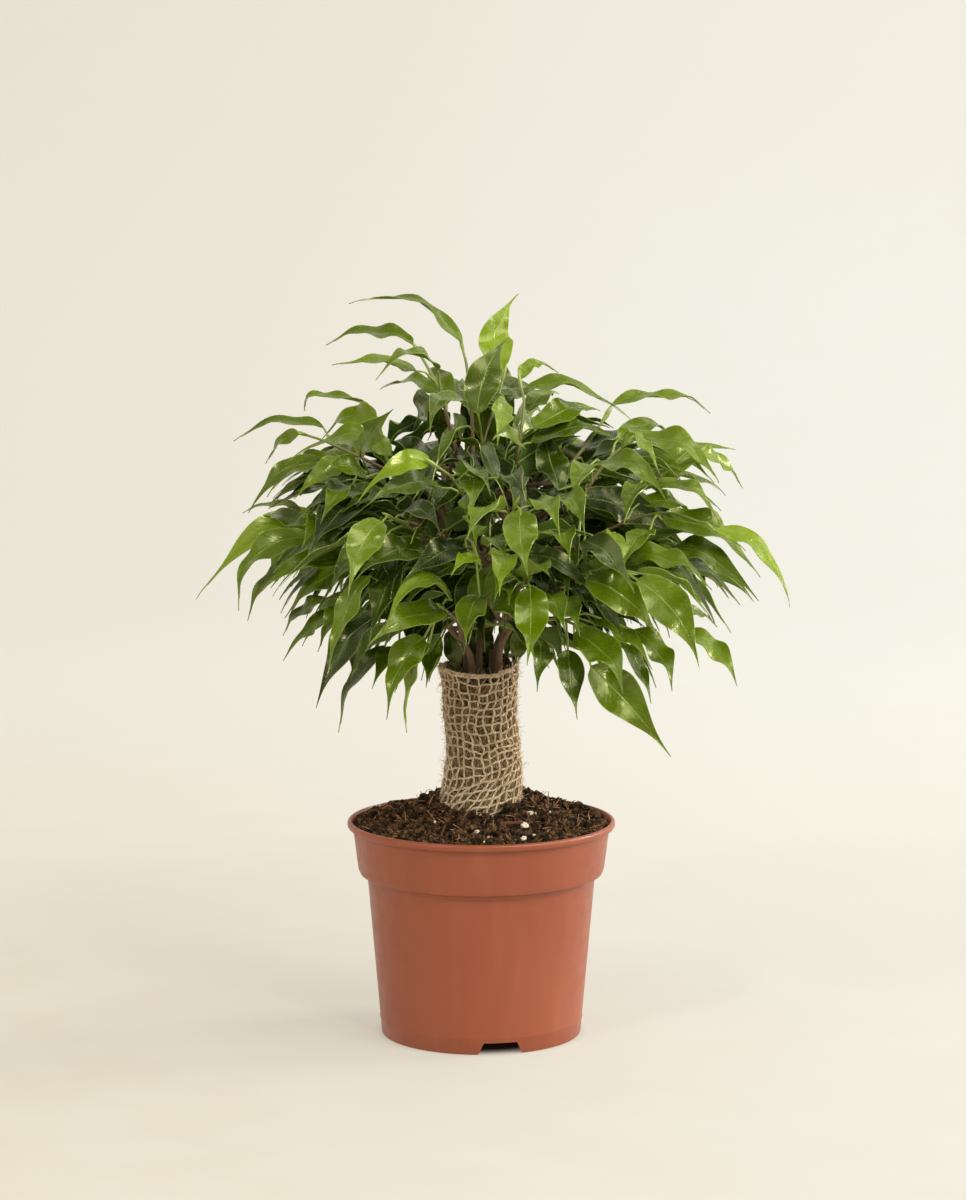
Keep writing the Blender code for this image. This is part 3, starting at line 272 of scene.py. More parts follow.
# %% Tools for finishes
class Finish:
    """A material in the making: each step adds a node to it and gives what the node puts out."""

    def __init__(self, name, roughness, shine=0.5, **fixed):
        """Start with a plain shader. Fixed values go straight onto the shader's own sockets."""
        self.material = bpy.data.materials.new(name)
        self.material.use_nodes = True
        self.tree = self.material.node_tree
        self.shader = self.tree.nodes["Principled BSDF"]
        fixed.update(Roughness=roughness, Specular_IOR_Level=shine)
        for label, value in fixed.items():
            self.shader.inputs[label.replace("_", " ")].default_value = value

    def on_object(self, stretch=(1, 1, 1)):
        """Object coordinates in millimetres, stretched where a pattern has a direction."""
        coordinates = wire(self.tree, "ShaderNodeTexCoord")
        scale = [1 / MM / part for part in stretch]
        return vectors(self.tree, "MULTIPLY", coordinates.outputs["Object"], scale)

    def mark(self, label, part="Fac"):
        """A number that the mesh carries, or with the part Vector three of them."""
        return wire(self.tree, "ShaderNodeAttribute", attribute_name=label).outputs[part]

    def maths(self, operation, *values):
        """One step of arithmetic."""
        return maths(self.tree, operation, *values).outputs[0]

    def between(self, value, low, high, start=0.0, end=1.0):
        """Soft step, as above."""
        return between(self.tree, value, low, high, start, end).outputs[0]

    def cloud(self, spot, size_mm, detail=3.0, roughness=0.5):
        """Soft noise from 0 to 1 with lumps of about a size."""
        return wire(self.tree, "ShaderNodeTexNoise", spot, 1 / size_mm, detail, roughness).outputs["Fac"]

    def blend(self, share, first, second):
        """Mix of two colours, each a colour or what an earlier blend put out."""
        first, second = [(*c, 1) if isinstance(c, tuple) else c for c in (first, second)]
        node = wire(self.tree, "ShaderNodeMix", share, first, second, data_type="RGBA")
        return next(output for output in node.outputs if output.enabled)

    def patches(self, tone, colour, pattern, low, high, most=1.0):
        """Another colour on a tone, in soft patches where a pattern is high."""
        return self.blend(self.between(pattern, low, high, 0.0, most), tone, colour)

    def feed(self, value, label="Base Color"):
        """Plug a value into one of the shader's sockets."""
        self.tree.links.new(value, self.shader.inputs[label])

    def relief(self, height, depth_mm, strength=1.0):
        """Bump of a depth in millimetres."""
        bump = wire(self.tree, "ShaderNodeBump", strength, depth_mm * MM)
        self.tree.links.new(height, bump.inputs["Height"])
        self.feed(bump.outputs["Normal"], "Normal")


def coated(piece, finish, degrees=35):
    """Smooth shading with edges kept sharp, and one finish all over."""
    piece.data.shade_smooth()
    piece.data.set_sharp_from_angle(angle=math.radians(degrees))
    piece.data.materials.clear()
    piece.data.materials.append(finish.material)


# %% [markdown]
# ## The pot
#
# Nursery pots are blown or moulded from thin brown-red plastic with a satin skin. The wall is a
# profile spun round the axis, with a few more points for the rolled lip. The notches and drain
# holes are cut with Booleans, as on the solid, and a fine mould line runs just above the notches.

# %% Terracotta plastic
CLAY = Finish("terracotta_plastic", 0.42, 0.58)
spot = CLAY.on_object()
tone = CLAY.blend(CLAY.cloud(spot, 38.0, 3.0), (0.265, 0.055, 0.017), (0.32, 0.072, 0.023))
streaks = CLAY.cloud(CLAY.on_object((9.0, 9.0, 60.0)), 1.0, 2.0)
tone = CLAY.patches(tone, (0.43, 0.125, 0.055), streaks, 0.45, 0.75, 0.15)
dust = CLAY.cloud(spot, 2.2, 6.0, 0.7)
CLAY.feed(CLAY.patches(tone, (0.2, 0.075, 0.045), dust, 0.62, 0.78, 0.25))
CLAY.feed(CLAY.between(CLAY.cloud(spot, 6.0, 4.0), 0.3, 0.7, 0.33, 0.46), "Roughness")
CLAY.relief(CLAY.cloud(spot, 0.9, 2.0), 0.02, 0.6)

# %% Sizes of the pot in millimetres
POT_STEPS = 160
POT_WALL = 1.4
LIP_RADIUS = 60.0
LIP_TOP = 97.0
LIP_ROUND = 1.2
UNDERLIP_ROUND = 0.9
COLLAR_TOP = (57.4, 93.4)
COLLAR_FOOT = (55.2, 75.0)
BODY_TOP = (51.0, 70.6)
BODY_FOOT = (44.9, 0.7)
FLOOR_TOP = 7.2
FLOOR_UNDERSIDE = 5.7
MOULD_LINE = 7.4
MOULD_RIDGE = ((0.0, 0.9), (0.22, 0.3), (0.22, -0.3), (0.0, -0.9))
NOTCH_ANGLES = (-79.0, 41.0, 161.0)
NOTCH_WIDTHS = (20.0, 15.0)
NOTCH_HEIGHT = 5.4
NOTCH_REACH = (-5.0, 3.0)
DRAIN_RADIUS = 5.0
DRAIN_CIRCLE = 33.0
DRAIN_MIDDLE = 6.0
DRAIN_DEPTH = 8.0


# %% Tools for turned shapes
def arc(centre, radius, start, end, steps):
    """Points of an arc in the profile plane, angles in degrees."""
    angles = [math.radians(start + (end - start) * step / steps) for step in range(steps + 1)]
    return [(centre[0] + radius * math.cos(a), centre[1] + radius * math.sin(a)) for a in angles]


def mesh_of(shape, name):
    """Plain mesh of a bmesh, which is freed."""
    mesh = bpy.data.meshes.new(name)
    shape.to_mesh(mesh)
    shape.free()
    return mesh


def turned(name, profile, steps):
    """Profile in millimetres, outer side downwards, spun round the axis."""
    points = [(r * MM, 0, z * MM) for r, z in profile]
    edges = [(k, k + 1) for k in range(len(profile) - 1)]
    piece = link(name, marked_mesh(name, points, edges, {}))
    screw = piece.modifiers.new("turn", "SCREW")
    screw.steps = steps
    screw.render_steps = steps
    screw.use_merge_vertices = True
    screw.merge_threshold = WELD
    return settled(piece)


# %% Profile of the pot
def wall_radius(height):
    """Outer radius of the pot's body at a height."""
    share = (height - BODY_FOOT[1]) / (BODY_TOP[1] - BODY_FOOT[1])
    return BODY_FOOT[0] + (BODY_TOP[0] - BODY_FOOT[0]) * share


lip = arc((LIP_RADIUS - LIP_ROUND, LIP_TOP - LIP_ROUND), LIP_ROUND, 110, 0, 8)
profile = [(0, FLOOR_TOP), (BODY_FOOT[0] - POT_WALL + 0.3, FLOOR_TOP), (BODY_TOP[0] - POT_WALL, BODY_TOP[1])]
profile += [(COLLAR_FOOT[0] - POT_WALL, COLLAR_FOOT[1]), (COLLAR_TOP[0] - POT_WALL, COLLAR_TOP[1] - 1.0)]
profile += lip + [(LIP_RADIUS, LIP_TOP - 2.2), (LIP_RADIUS - 0.4, LIP_TOP - 2.9)]
profile += arc((COLLAR_TOP[0] + UNDERLIP_ROUND, COLLAR_TOP[1] - 1.0), UNDERLIP_ROUND, 90, 180, 4)
profile += [(COLLAR_FOOT[0] + 0.05, COLLAR_FOOT[1] + 0.6), (COLLAR_FOOT[0] - 0.25, COLLAR_FOOT[1] - 0.3)]
profile += [(COLLAR_FOOT[0] - 0.8, COLLAR_FOOT[1] - 1.6), (BODY_TOP[0] + 0.7, BODY_TOP[1] + 1.6)]
profile += [(BODY_TOP[0] + 0.15, BODY_TOP[1] + 0.6), (BODY_TOP[0] - 0.05, BODY_TOP[1] - 0.5)]
for lift, height in MOULD_RIDGE:
    profile.append((wall_radius(MOULD_LINE + height) + lift, MOULD_LINE + height))
profile += [BODY_FOOT, (BODY_FOOT[0] - 0.25, 0.15), (BODY_FOOT[0] - 0.7, 0), (BODY_FOOT[0] - 2.7, 0)]
profile += [(BODY_FOOT[0] - 2.1, FLOOR_UNDERSIDE), (0, FLOOR_UNDERSIDE)]
print("profile points:", len(profile))


# %% Spin it, cut it, smooth it
def notch_cutter(turn):
    """Wedge with sloped ends that opens one notch across the wall of the foot."""
    slope = (NOTCH_WIDTHS[0] - NOTCH_WIDTHS[1]) / NOTCH_HEIGHT
    shape = bmesh.new()
    for radius in [BODY_FOOT[0] + reach for reach in NOTCH_REACH]:
        for height in (-1.0, NOTCH_HEIGHT):
            half = (NOTCH_WIDTHS[0] - slope * height) / 2
            for side in (-1, 1):
                shape.verts.new(turn @ Vector((radius, side * half, height)) * MM)
    bmesh.ops.convex_hull(shape, input=shape.verts)
    return shape


def cut_away(piece, shape):
    """Boolean difference by a cutter, applied, with the cutter removed."""
    cutter = link("cutter", mesh_of(shape, "cutter"))
    boolean = piece.modifiers.new("cut", "BOOLEAN")
    boolean.operation = "DIFFERENCE"
    boolean.object = cutter
    settled(piece)
    bpy.data.objects.remove(cutter)


pot = turned("pot_shell", profile, POT_STEPS)
for angle in NOTCH_ANGLES:
    turn = Matrix.Rotation(math.radians(angle), 4, "Z")
    cut_away(pot, notch_cutter(turn))
    drain = bmesh.new()
    spot = Matrix.Translation(turn @ Vector((DRAIN_CIRCLE, 0, DRAIN_MIDDLE)) * MM)
    bmesh.ops.create_cone(drain, cap_ends=True, segments=40, radius1=DRAIN_RADIUS * MM,
                          radius2=DRAIN_RADIUS * MM, depth=DRAIN_DEPTH * MM, matrix=spot)
    cut_away(pot, drain)
coated(pot, CLAY)
place(pot, "terracotta_plastic", "pot")

# %% [markdown]
# ## The soil
#
# Potting soil is dark peat: crumbs of every size, with pale fibres and a few white grains. The
# bed is a fine mesh with a noisy top. Crumbs and fibres can't be modelled one by one, so one
# Geometry Nodes tree scatters copies of a small piece over any surface.

# %% Finishes of the soil
SOIL = Finish("peat", 0.95, 0.2)
spot = SOIL.on_object()
tone = SOIL.patches((0.004, 0.002, 0.001), (0.2, 0.1, 0.036), SOIL.cloud(spot, 2.6, 5.0, 0.7), 0.4, 0.68)
damp = SOIL.cloud(spot, 7.0, 3.0)
SOIL.feed(SOIL.patches(tone, (0.006, 0.003, 0.001), damp, 0.5, 0.66, 0.8))
SOIL.relief(SOIL.cloud(spot, 0.7, 4.0, 0.7), 0.5)

FIBRE = Finish("peat_fibre", 0.9, 0.2)
pattern = FIBRE.cloud(FIBRE.on_object(), 5.0, 2.0)
FIBRE.feed(FIBRE.patches((0.05, 0.02, 0.008), (0.62, 0.31, 0.14), pattern, 0.35, 0.65))

PERLITE = Finish("perlite", 0.95, 0.2)
spot = PERLITE.on_object()
pattern = PERLITE.cloud(spot, 0.8, 4.0, 0.6)
PERLITE.feed(PERLITE.blend(pattern, (0.68, 0.6, 0.44), (0.9, 0.83, 0.67)))
PERLITE.relief(PERLITE.cloud(spot, 0.35, 4.0, 0.7), 0.12)

CHIP = Finish("red_bark", 0.85, 0.25)
grain = CHIP.cloud(CHIP.on_object((6.0, 0.8, 0.8)), 0.8, 4.0)
CHIP.feed(CHIP.blend(grain, (0.08, 0.026, 0.016), (0.3, 0.11, 0.06)))
CHIP.relief(grain, 0.3)

# %% Sizes of the soil, the column and the sleeve in millimetres
SOIL_EDGE_HEIGHT = 95.0
SOIL_FRONT_HEIGHT = 98.0
SOIL_MOUND = 8.5
SOIL_MOUND_START = 21.2
SOIL_MOUND_END = 46.0
SOIL_BUMP = 0.9
SOIL_BUMP_FADE = (48.0, 56.0)
SOIL_SINK = 0.3
SOIL_STEPS = 170
SOIL_RINGS = 40
SOIL_HOLE = 19.6
SOIL_REACH = 55.6
SOIL_PLAY = 0.2
HEAP_HEIGHT = 1.5
HEAP_REACH = (30, 52)
CRUMB_COLLAR_END = 25.0
COLUMN_RADIUS = 14.2
COLUMN_FOOT = 40.0
COLUMN_PLAY = 0.4
SLEEVE_LEDGE = 88.0
SLEEVE_TOP = 166.0
SLEEVE_OUTLINE = ((88.0, 20.6), (100.0, 20.1), (113.0, 18.3), (130.0, 16.9), (146.0, 16.8), (170.0, 17.9))


# %% The bed of soil
def smoothstep(low, high, value):
    """Share from 0 to 1 of the way between two values, with soft ends."""
    part = min(max((value - low) / (high - low), 0.0), 1.0)
    return part * part * (3 - 2 * part)


def soil_height(x, y):
    """Height of the soil: level at the pot, mounded round the sleeve, rough."""
    radius, angle = math.hypot(x, y), math.atan2(y, x)
    near = 1 - smoothstep(SOIL_MOUND_START, SOIL_MOUND_END, radius)
    back = ((1 + math.sin(angle)) / 2) ** 0.35
    crest = SOIL_FRONT_HEIGHT + SOIL_MOUND * back
    rough = math.sin(0.37 * x + 1.3) * math.cos(0.33 * y - 0.4) + 0.6 * math.sin(0.81 * x - 0.62 * y)
    full, flat = SOIL_BUMP_FADE
    fade = smoothstep(flat, full, radius) if radius > full else 1.0
    return SOIL_EDGE_HEIGHT + (crest - SOIL_EDGE_HEIGHT) * near + SOIL_BUMP * rough * fade


def crumbled(x, y):
    """Fine lumps on top of the soil's main form, which lies higher against the far wall."""
    lump = noise.fractal(Vector((x, y, 3.0)) * 0.3, 0.85, 2.1, 5) * 1.7
    lump += noise.noise(Vector((x, y, 8.0)) * 0.13) * 2.6
    radius = math.hypot(x, y)
    heap = HEAP_HEIGHT * smoothstep(*HEAP_REACH, radius) * smoothstep(-0.2, 0.8, y / max(radius, 1.0))
    collar = 1.9 + 3.0 * noise.noise(Vector((x, y, 1.0)) * 0.1)
    collar *= 1 - smoothstep(SOIL_HOLE, CRUMB_COLLAR_END, radius)
    lump *= smoothstep(SOIL_BUMP_FADE[1], HEAP_REACH[1], radius)
    return soil_height(x, y) - SOIL_SINK + heap + collar + lump


well = COLUMN_RADIUS + COLUMN_PLAY
side = POT_WALL + SOIL_PLAY
radii = [SOIL_HOLE + (SOIL_REACH - SOIL_HOLE) * (ring / SOIL_RINGS) for ring in range(SOIL_RINGS + 1)]
profile = [(0, COLUMN_FOOT), (well, COLUMN_FOOT), (well, SLEEVE_LEDGE), (SOIL_HOLE, SLEEVE_LEDGE)]
profile += [(radius, 100.0) for radius in radii]
profile += [(COLLAR_FOOT[0] - side, COLLAR_FOOT[1]), (BODY_TOP[0] - side, BODY_TOP[1])]
profile += [(BODY_FOOT[0] - side, FLOOR_TOP + SOIL_PLAY), (0, FLOOR_TOP + SOIL_PLAY)]
soil = turned("soil_bed", profile, SOIL_STEPS)
for point in soil.data.vertices:
    if point.co.z > 99 * MM:
        point.co.z = crumbled(point.co.x / MM, point.co.y / MM) * MM
coated(soil, SOIL, 60)
place(soil, "potting_soil", "soil")

# %% [markdown]
# The tree spreads points over the faces of a ground, puts a copy on each, and turns and sizes
# every copy from a fixed seed. A crumb is a ball of twenty faces with its points pushed about,
# and a fibre is a bent line with three sides. What comes in thousands has to be as plain as that.

# %% A tree that scatters small pieces over a surface
CRUMB_PUSH = 0.35
CRUMB_SEED = 4


def scatter_tree(name, small_piece, finish, stand=0.0):
    """Copies of a small piece on every face. Stand, from 0 to 1, turns them upright."""
    tree, start = new_tree(name, [("Density", "Float", 1.0), ("Smallest", "Float", 0.5),
                                  ("Largest", "Float", 1.0), ("Seed", "Int", 1)])
    ground, density, smallest, largest, seed = start[:5]
    spots = wire(tree, "GeometryNodeDistributePointsOnFaces", ground, None, density, seed)
    spin = wire(tree, "FunctionNodeRandomValue", (0, 0, 0), (FULL_TURN,) * 3, None, seed,
                data_type="FLOAT_VECTOR")
    upright = wire(tree, "FunctionNodeAlignRotationToVector", spin, stand, spots.outputs["Normal"], axis="Z")
    size = wire(tree, "FunctionNodeRandomValue", smallest, largest, None, seed)
    copies = wire(tree, "GeometryNodeInstanceOnPoints", spots.outputs["Points"], None, small_piece(tree),
                  None, None, upright, size)
    finish_tree(tree, copies, finish)
    return tree


def crumb(tree):
    """Lump of soil: a ball with its points pushed about."""
    ball = wire(tree, "GeometryNodeMeshIcoSphere", MM, 1)
    push = wire(tree, "FunctionNodeRandomValue", (-CRUMB_PUSH * MM,) * 3, (CRUMB_PUSH * MM,) * 3, None,
                CRUMB_SEED, data_type="FLOAT_VECTOR")
    return wire(tree, "GeometryNodeSetPosition", ball.outputs["Mesh"], None, None, push)


def thread(tree, steps, radius, *places):
    """Thread bent through three places, with three sides, all in millimetres."""
    places = [[part * MM for part in spot] for spot in places]
    bow = wire(tree, "GeometryNodeCurveQuadraticBezier", steps, *places)
    ring = wire(tree, "GeometryNodeCurvePrimitiveCircle", 3, radius * MM)
    return wire(tree, "GeometryNodeCurveToMesh", bow, ring, None, True)


def fibre(tree):
    """Fibre of peat or moss that lies across its place."""
    return thread(tree, 7, 0.16, (-5, 0, 0), (0, 2.6, 1), (5, 0, 0))


def hair(tree):
    """Fine hair of jute that starts at its place."""
    return thread(tree, 4, 0.07, (0, 0, -0.2), (0.5, 0, 1.1), (3.0, 0, 1.5))


# %% Crumbs and fibres on the soil
def top_of(piece, low, tilt=0.3, high=999.0, reach=999.0):
    """Copy of the faces between two heights and within a reach that look up at least by the tilt."""
    shape = bmesh.new()
    shape.from_mesh(piece.data)
    middles = {f: f.calc_center_median() / MM for f in shape.faces}
    dull = [f for f, middle in middles.items()
            if f.normal.z < tilt or not low < middle.z < high or middle.xy.length > reach]
    bmesh.ops.delete(shape, geom=dull, context="FACES")
    mesh = mesh_of(shape, "ground")
    mesh.materials.clear()
    return mesh


def litter(name, ground, tree, slot, density, smallest, largest, seed):
    """Small pieces scattered over a ground, so many to a square metre, and placed."""
    piece = grown(name, ground, tree, Density=density, Smallest=smallest, Largest=largest, Seed=seed)
    place(piece, slot)
    return piece


LITTER_LOW = 90
CRUMBS = scatter_tree("crumbs", crumb, SOIL)
FIBRES = scatter_tree("fibres", fibre, FIBRE, 0.85)
LOOSE = scatter_tree("loose", fibre, FIBRE, 0.35)
DUST = scatter_tree("dust", crumb, PERLITE)
ground = top_of(soil, LITTER_LOW)
crumbs = litter("soil_crumbs", ground, CRUMBS, "potting_soil", 2.6e5, 0.2, 2.6, 5)
inner = top_of(soil, LITTER_LOW, reach=53)
litter("soil_fibres", inner, FIBRES, "potting_soil", 8.5e4, 0.3, 1.05, 8)
inner = top_of(soil, LITTER_LOW, reach=50)
litter("loose_fibres", inner, LOOSE, "potting_soil", 2.2e4, 0.5, 1.4, 21)
litter("perlite_dust", ground, DUST, "perlite", 4.0e3, 0.3, 0.85, 4)

# %% [markdown]
# Perlite is white, light and lumpy, and bark comes as torn slivers. Both start as simple closed
# shapes that noise pushes about. Each one fills the place of its solid, so it lies on the soil
# just as the solid does.


# %% Grains of perlite and a chip of bark
def roughened(shape, size_mm, depth_mm, seed):
    """Push every point of a bmesh along its normal by noise."""
    shape.normal_update()
    for point in shape.verts:
        spot = point.co / (size_mm * MM) + Vector((seed * 7.3, seed * 1.9, 0))
        point.co += point.normal * noise.fractal(spot, 0.9, 2.0, 4) * depth_mm * MM


def fitted(shape, name, low, high):
    """Object of a bmesh, moved and stretched to fill a box."""
    lows = [min(point.co[axis] for point in shape.verts) for axis in range(3)]
    highs = [max(point.co[axis] for point in shape.verts) for axis in range(3)]
    for point in shape.verts:
        for axis in range(3):
            share = (point.co[axis] - lows[axis]) / (highs[axis] - lows[axis])
            point.co[axis] = low[axis] + (high[axis] - low[axis]) * share
    return link(name, mesh_of(shape, name))


for number in (1, 2):
    grain = bmesh.new()
    bmesh.ops.create_icosphere(grain, subdivisions=4, radius=1.6 * MM)
    roughened(grain, 1.6, 1.1, number)
    lump = fitted(grain, f"perlite_grain_{number}", *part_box(f"perlite_{number}"))
    coated(lump, PERLITE, 50)
    place(lump, "perlite", f"perlite_{number}")

chip = bmesh.new()
bmesh.ops.create_cube(chip, size=1.0)
bmesh.ops.subdivide_edges(chip, edges=chip.edges, cuts=9, use_grid_fill=True)
for point in chip.verts:
    slim = 1 - 0.75 * smoothstep(0.3, 0.5, abs(point.co.x))
    x, y, z = point.co.x * 12, point.co.y * 2.6 * slim, point.co.z * 1.3 * slim
    point.co = Vector((x, y + 0.06 * x + 0.25 * math.sin(x), z + 0.2 * math.cos(0.5 * x))) * MM
roughened(chip, 2.0, 0.35, 3)
bark = fitted(chip, "bark_sliver", *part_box("bark_chip"))
coated(bark, CHIP, 40)
place(bark, "red_bark", "bark_chip")

# %% [markdown]
# ## Moss behind the net
#
# The sleeve is stuffed with moss and fibre that has gone brown with water. Through the open
# weave it shows as a dark, rough ground. It is one closed lump that fills the net from inside,
# with a hollow at the top where the stems come out, and a litter of short fibres on its skin.


# %% Outline of the sleeve
def sleeve_radius(height):
    """Outer radius of the jute sleeve in millimetres at a height."""
    for (low, a), (high, b) in zip(SLEEVE_OUTLINE, SLEEVE_OUTLINE[1:]):
        if height <= high:
            return a + (b - a) * smoothstep(low, high, height)
    return SLEEVE_OUTLINE[-1][1]


def sleeve_top(angle):
    """Height of the sleeve's upper edge in millimetres: lowest in front, highest on the right."""
    return SLEEVE_TOP + 1.3 + 1.2 * math.cos(angle) + 0.8 * math.sin(angle) + 1.3 * math.cos(2 * angle + 0.5)


def sleeve_lean(height):
    """How far the sleeve leans to the right in millimetres: out over its waist, and back at the top."""
    return 1.0 * smoothstep(108, 123, height) - 1.7 * smoothstep(128, 150, height)


# %% Moss
MOSS = Finish("packed_moss", 0.95, 0.15)
strands = MOSS.cloud(MOSS.on_object((1.0, 1.0, 2.6)), 1.1, 5.0, 0.7)
tone = MOSS.patches((0.04, 0.026, 0.01), (0.27, 0.185, 0.08), strands, 0.35, 0.65)
green = MOSS.cloud(MOSS.on_object(), 7.0, 2.0)
MOSS.feed(MOSS.patches(tone, (0.1, 0.1, 0.03), green, 0.5, 0.75, 0.5))
MOSS.relief(strands, 0.6)

MOSS_STEPS = 110
MOSS_RINGS = 60
MOSS_INSET = 1.7
MOSS_SEAT = 0.6
MOSS_TOP = 161.0
MOSS_HOLLOW = 148.5
MOSS_HOLLOW_RISE = 9.0
MOSS_MOUTH = 14
MOSS_PLAY = 0.3
tall = MOSS_TOP - SLEEVE_LEDGE - MOSS_SEAT
heights = [SLEEVE_LEDGE + MOSS_SEAT + tall * k / MOSS_RINGS for k in range(MOSS_RINGS + 1)]
profile = [(0, MOSS_HOLLOW)]
for radius in range(2, MOSS_MOUTH, 2):
    profile.append((radius, MOSS_HOLLOW + MOSS_HOLLOW_RISE * (radius / MOSS_MOUTH) ** 3))
profile += [(sleeve_radius(height) - MOSS_INSET, height) for height in reversed(heights)]
profile += [(COLUMN_RADIUS, SLEEVE_LEDGE + 0.4), (COLUMN_RADIUS, COLUMN_FOOT + MOSS_PLAY)]
profile.append((0, COLUMN_FOOT + MOSS_PLAY))
moss = turned("moss", profile, MOSS_STEPS)
for point in moss.data.vertices:
    if point.co.z > (SLEEVE_LEDGE + 1) * MM:
        flat = Vector((point.co.x, point.co.y, 0))
        tuft = noise.fractal(point.co / MM * 0.3, 0.8, 2.1, 5)
        top = point.co.z > 145 * MM and flat.length < 13 * MM
        back = smoothstep(0, 12, point.co.y / MM)
        point.co.z += 9 * MM * smoothstep(152, MOSS_TOP, point.co.z / MM) * back
        point.co += (UP * 1.6 if top else flat.normalized() * 0.75) * tuft * MM
        point.co.x += sleeve_lean(point.co.z / MM) * MM
coated(moss, MOSS, 60)
place(moss, "packed_moss", "moss_column")

MOSS_FIBRE = Finish("moss_fibre", 0.9, 0.2)
pattern = MOSS_FIBRE.cloud(MOSS_FIBRE.on_object(), 4.0, 2.0)
tone = MOSS_FIBRE.patches((0.2, 0.13, 0.06), (0.55, 0.38, 0.2), pattern, 0.35, 0.65)
MOSS_FIBRE.feed(tone)
MOSS_FIBRES = scatter_tree("moss_fibres", fibre, MOSS_FIBRE, 0.8)
ground = top_of(moss, SLEEVE_LEDGE + 2, -0.5)
litter("moss_fibres", ground, MOSS_FIBRES, "packed_moss", 1.6e5, 0.2, 0.6, 3)

# %% [markdown]
# ## The jute sleeve
#
# Hessian is plain weave of thick, hairy yarn: every upright goes over one row and under the
# next. A net drawn as a texture looks flat from the side, so the yarns are real tubes. The
# script works out their centre lines, and a node tree gives them a round section. Two marks on
# the tubes, how far along and which way round, let the finish wind a twist about each yarn.

# %% Jute
TWIST_PITCH = 2.4
JUTE = Finish("jute_yarn", 0.9, 0.2, Sheen_Weight=0.35, Sheen_Roughness=0.6)
around = wire(JUTE.tree, "ShaderNodeSeparateXYZ", JUTE.mark("around", "Vector")).outputs
turn = JUTE.maths("MULTIPLY", JUTE.maths("ARCTAN2", around["Y"], around["X"]), 2.0)
twist = JUTE.maths("MULTIPLY_ADD", JUTE.mark("along"), 2 * math.pi / (TWIST_PITCH * MM), turn)
ply = JUTE.maths("MULTIPLY_ADD", JUTE.maths("SINE", twist), 0.5, 0.5)
spot = JUTE.on_object()
nap = JUTE.cloud(spot, 0.25, 4.0, 0.7)
# Painted light and shade of the twist: each ply is lighter on its crest and darker in the groove beside the
# next, on the same pattern as the relief.
tone = JUTE.blend(ply, (0.52, 0.33, 0.165), (1.0, 0.77, 0.48))
tone = JUTE.patches(tone, (0.58, 0.39, 0.2), JUTE.cloud(spot, 6.0, 3.0), 0.35, 0.7, 0.55)
JUTE.feed(JUTE.patches(tone, (0.95, 0.78, 0.53), nap, 0.4, 0.7, 0.4))
JUTE.relief(JUTE.maths("MULTIPLY_ADD", nap, 0.5, ply), 0.2)


# %% A tree that gives lines a round section
def round_section(tree, lines, ring, weld):
    """Closed tubes along lines; the mark "thick" is their radius."""
    tubes = wire(tree, "GeometryNodeCurveToMesh", lines, ring, named(tree, "thick"), True)
    return wire(tree, "GeometryNodeMergeByDistance", tubes, None, weld)


def tube_tree(name, finish, sides):
    """Tubes along every line of a mesh, marked along and around."""
    tree, start = new_tree(name, [])
    ring = wire(tree, "GeometryNodeCurvePrimitiveCircle", sides, 1.0)
    ring = stored(tree, ring, "around", wire(tree, "GeometryNodeInputPosition"), "FLOAT_VECTOR")
    lines = wire(tree, "GeometryNodeMeshToCurve", start["Geometry"])
    along = wire(tree, "GeometryNodeSplineParameter").outputs["Length"]
    lines = stored(tree, lines, "along", along)
    tubes = round_section(tree, lines, ring, WELD)
    finish_tree(tree, wire(tree, "GeometryNodeSetShadeSmooth", tubes), finish)
    return tree


def chains(lines):
    """Edges that string the points of several lines together."""
    edges, first = [], 0
    for line in lines:
        edges += [(first + k, first + k + 1) for k in range(len(line) - 1)]
        first += len(line)
    return edges


# %% [markdown]
# A sleeve is never even: its weave leans, its rows climb where it was pulled on, and its edge
# frays. One function says where an upright and a row cross. Noise shifts the crossings, a slow
# turn and a climb slant them, and a cosine takes each yarn outside one neighbour and inside the
# next.

# %% Centre lines of the yarns
UPRIGHTS = 28
ROWS = 21
ROW_SHIFT = 0.35
EDGE_ROWS = (0.12, 0.35)
YARN_RADIUS = 0.46
YARN_SWING = 0.42
YARN_SIDES = 6
YARN_STEPS = 4
SLUBS = 0.4
MOST_FRAY = 0.5
NET_INSET = 0.95
NET_SEAT = 0.4
NET_TWIST = 0.62
NET_CLIMB = 4.0
NET_FLARE = 1.3
chance = random.Random("net")


def net_point(column, row, side):
    """Place on the net by upright and row, and which side of the net the yarn runs on there."""
    angle = 2 * math.pi * column / UPRIGHTS
    share = row / ROWS
    height = SLEEVE_LEDGE + NET_SEAT + (sleeve_top(angle) - SLEEVE_LEDGE - NET_SEAT) * share
    spot = Vector((math.cos(angle), math.sin(angle), share * 4))
    turn = angle + NET_TWIST * smoothstep(0.1, 0.45, share) + noise.noise(spot * 1.6) * 0.14
    turn += noise.noise(spot * 5.0) * 0.08
    inside = (1 - share) * share * 4
    climb = NET_CLIMB * smoothstep(0.0, 0.2, share) * (1 - 0.75 * smoothstep(0.35, 0.6, share))
    height += climb * math.cos(turn) + inside * 2.4 * noise.noise(spot * 1.5 + UP * 9)
    height += noise.noise(spot * 5.0 + UP * 4) * 1.1 * min(1.0, 4 * share)
    flare = NET_FLARE * smoothstep(0.93, 1.0, share) * (0.5 - 0.5 * math.cos(turn))
    wander = 0.35 * noise.noise(spot * 2.5)
    radius = sleeve_radius(height) - NET_INSET + YARN_SWING * side + wander + flare
    return Vector((radius * math.cos(turn) + sleeve_lean(height), radius * math.sin(turn), height)) * MM


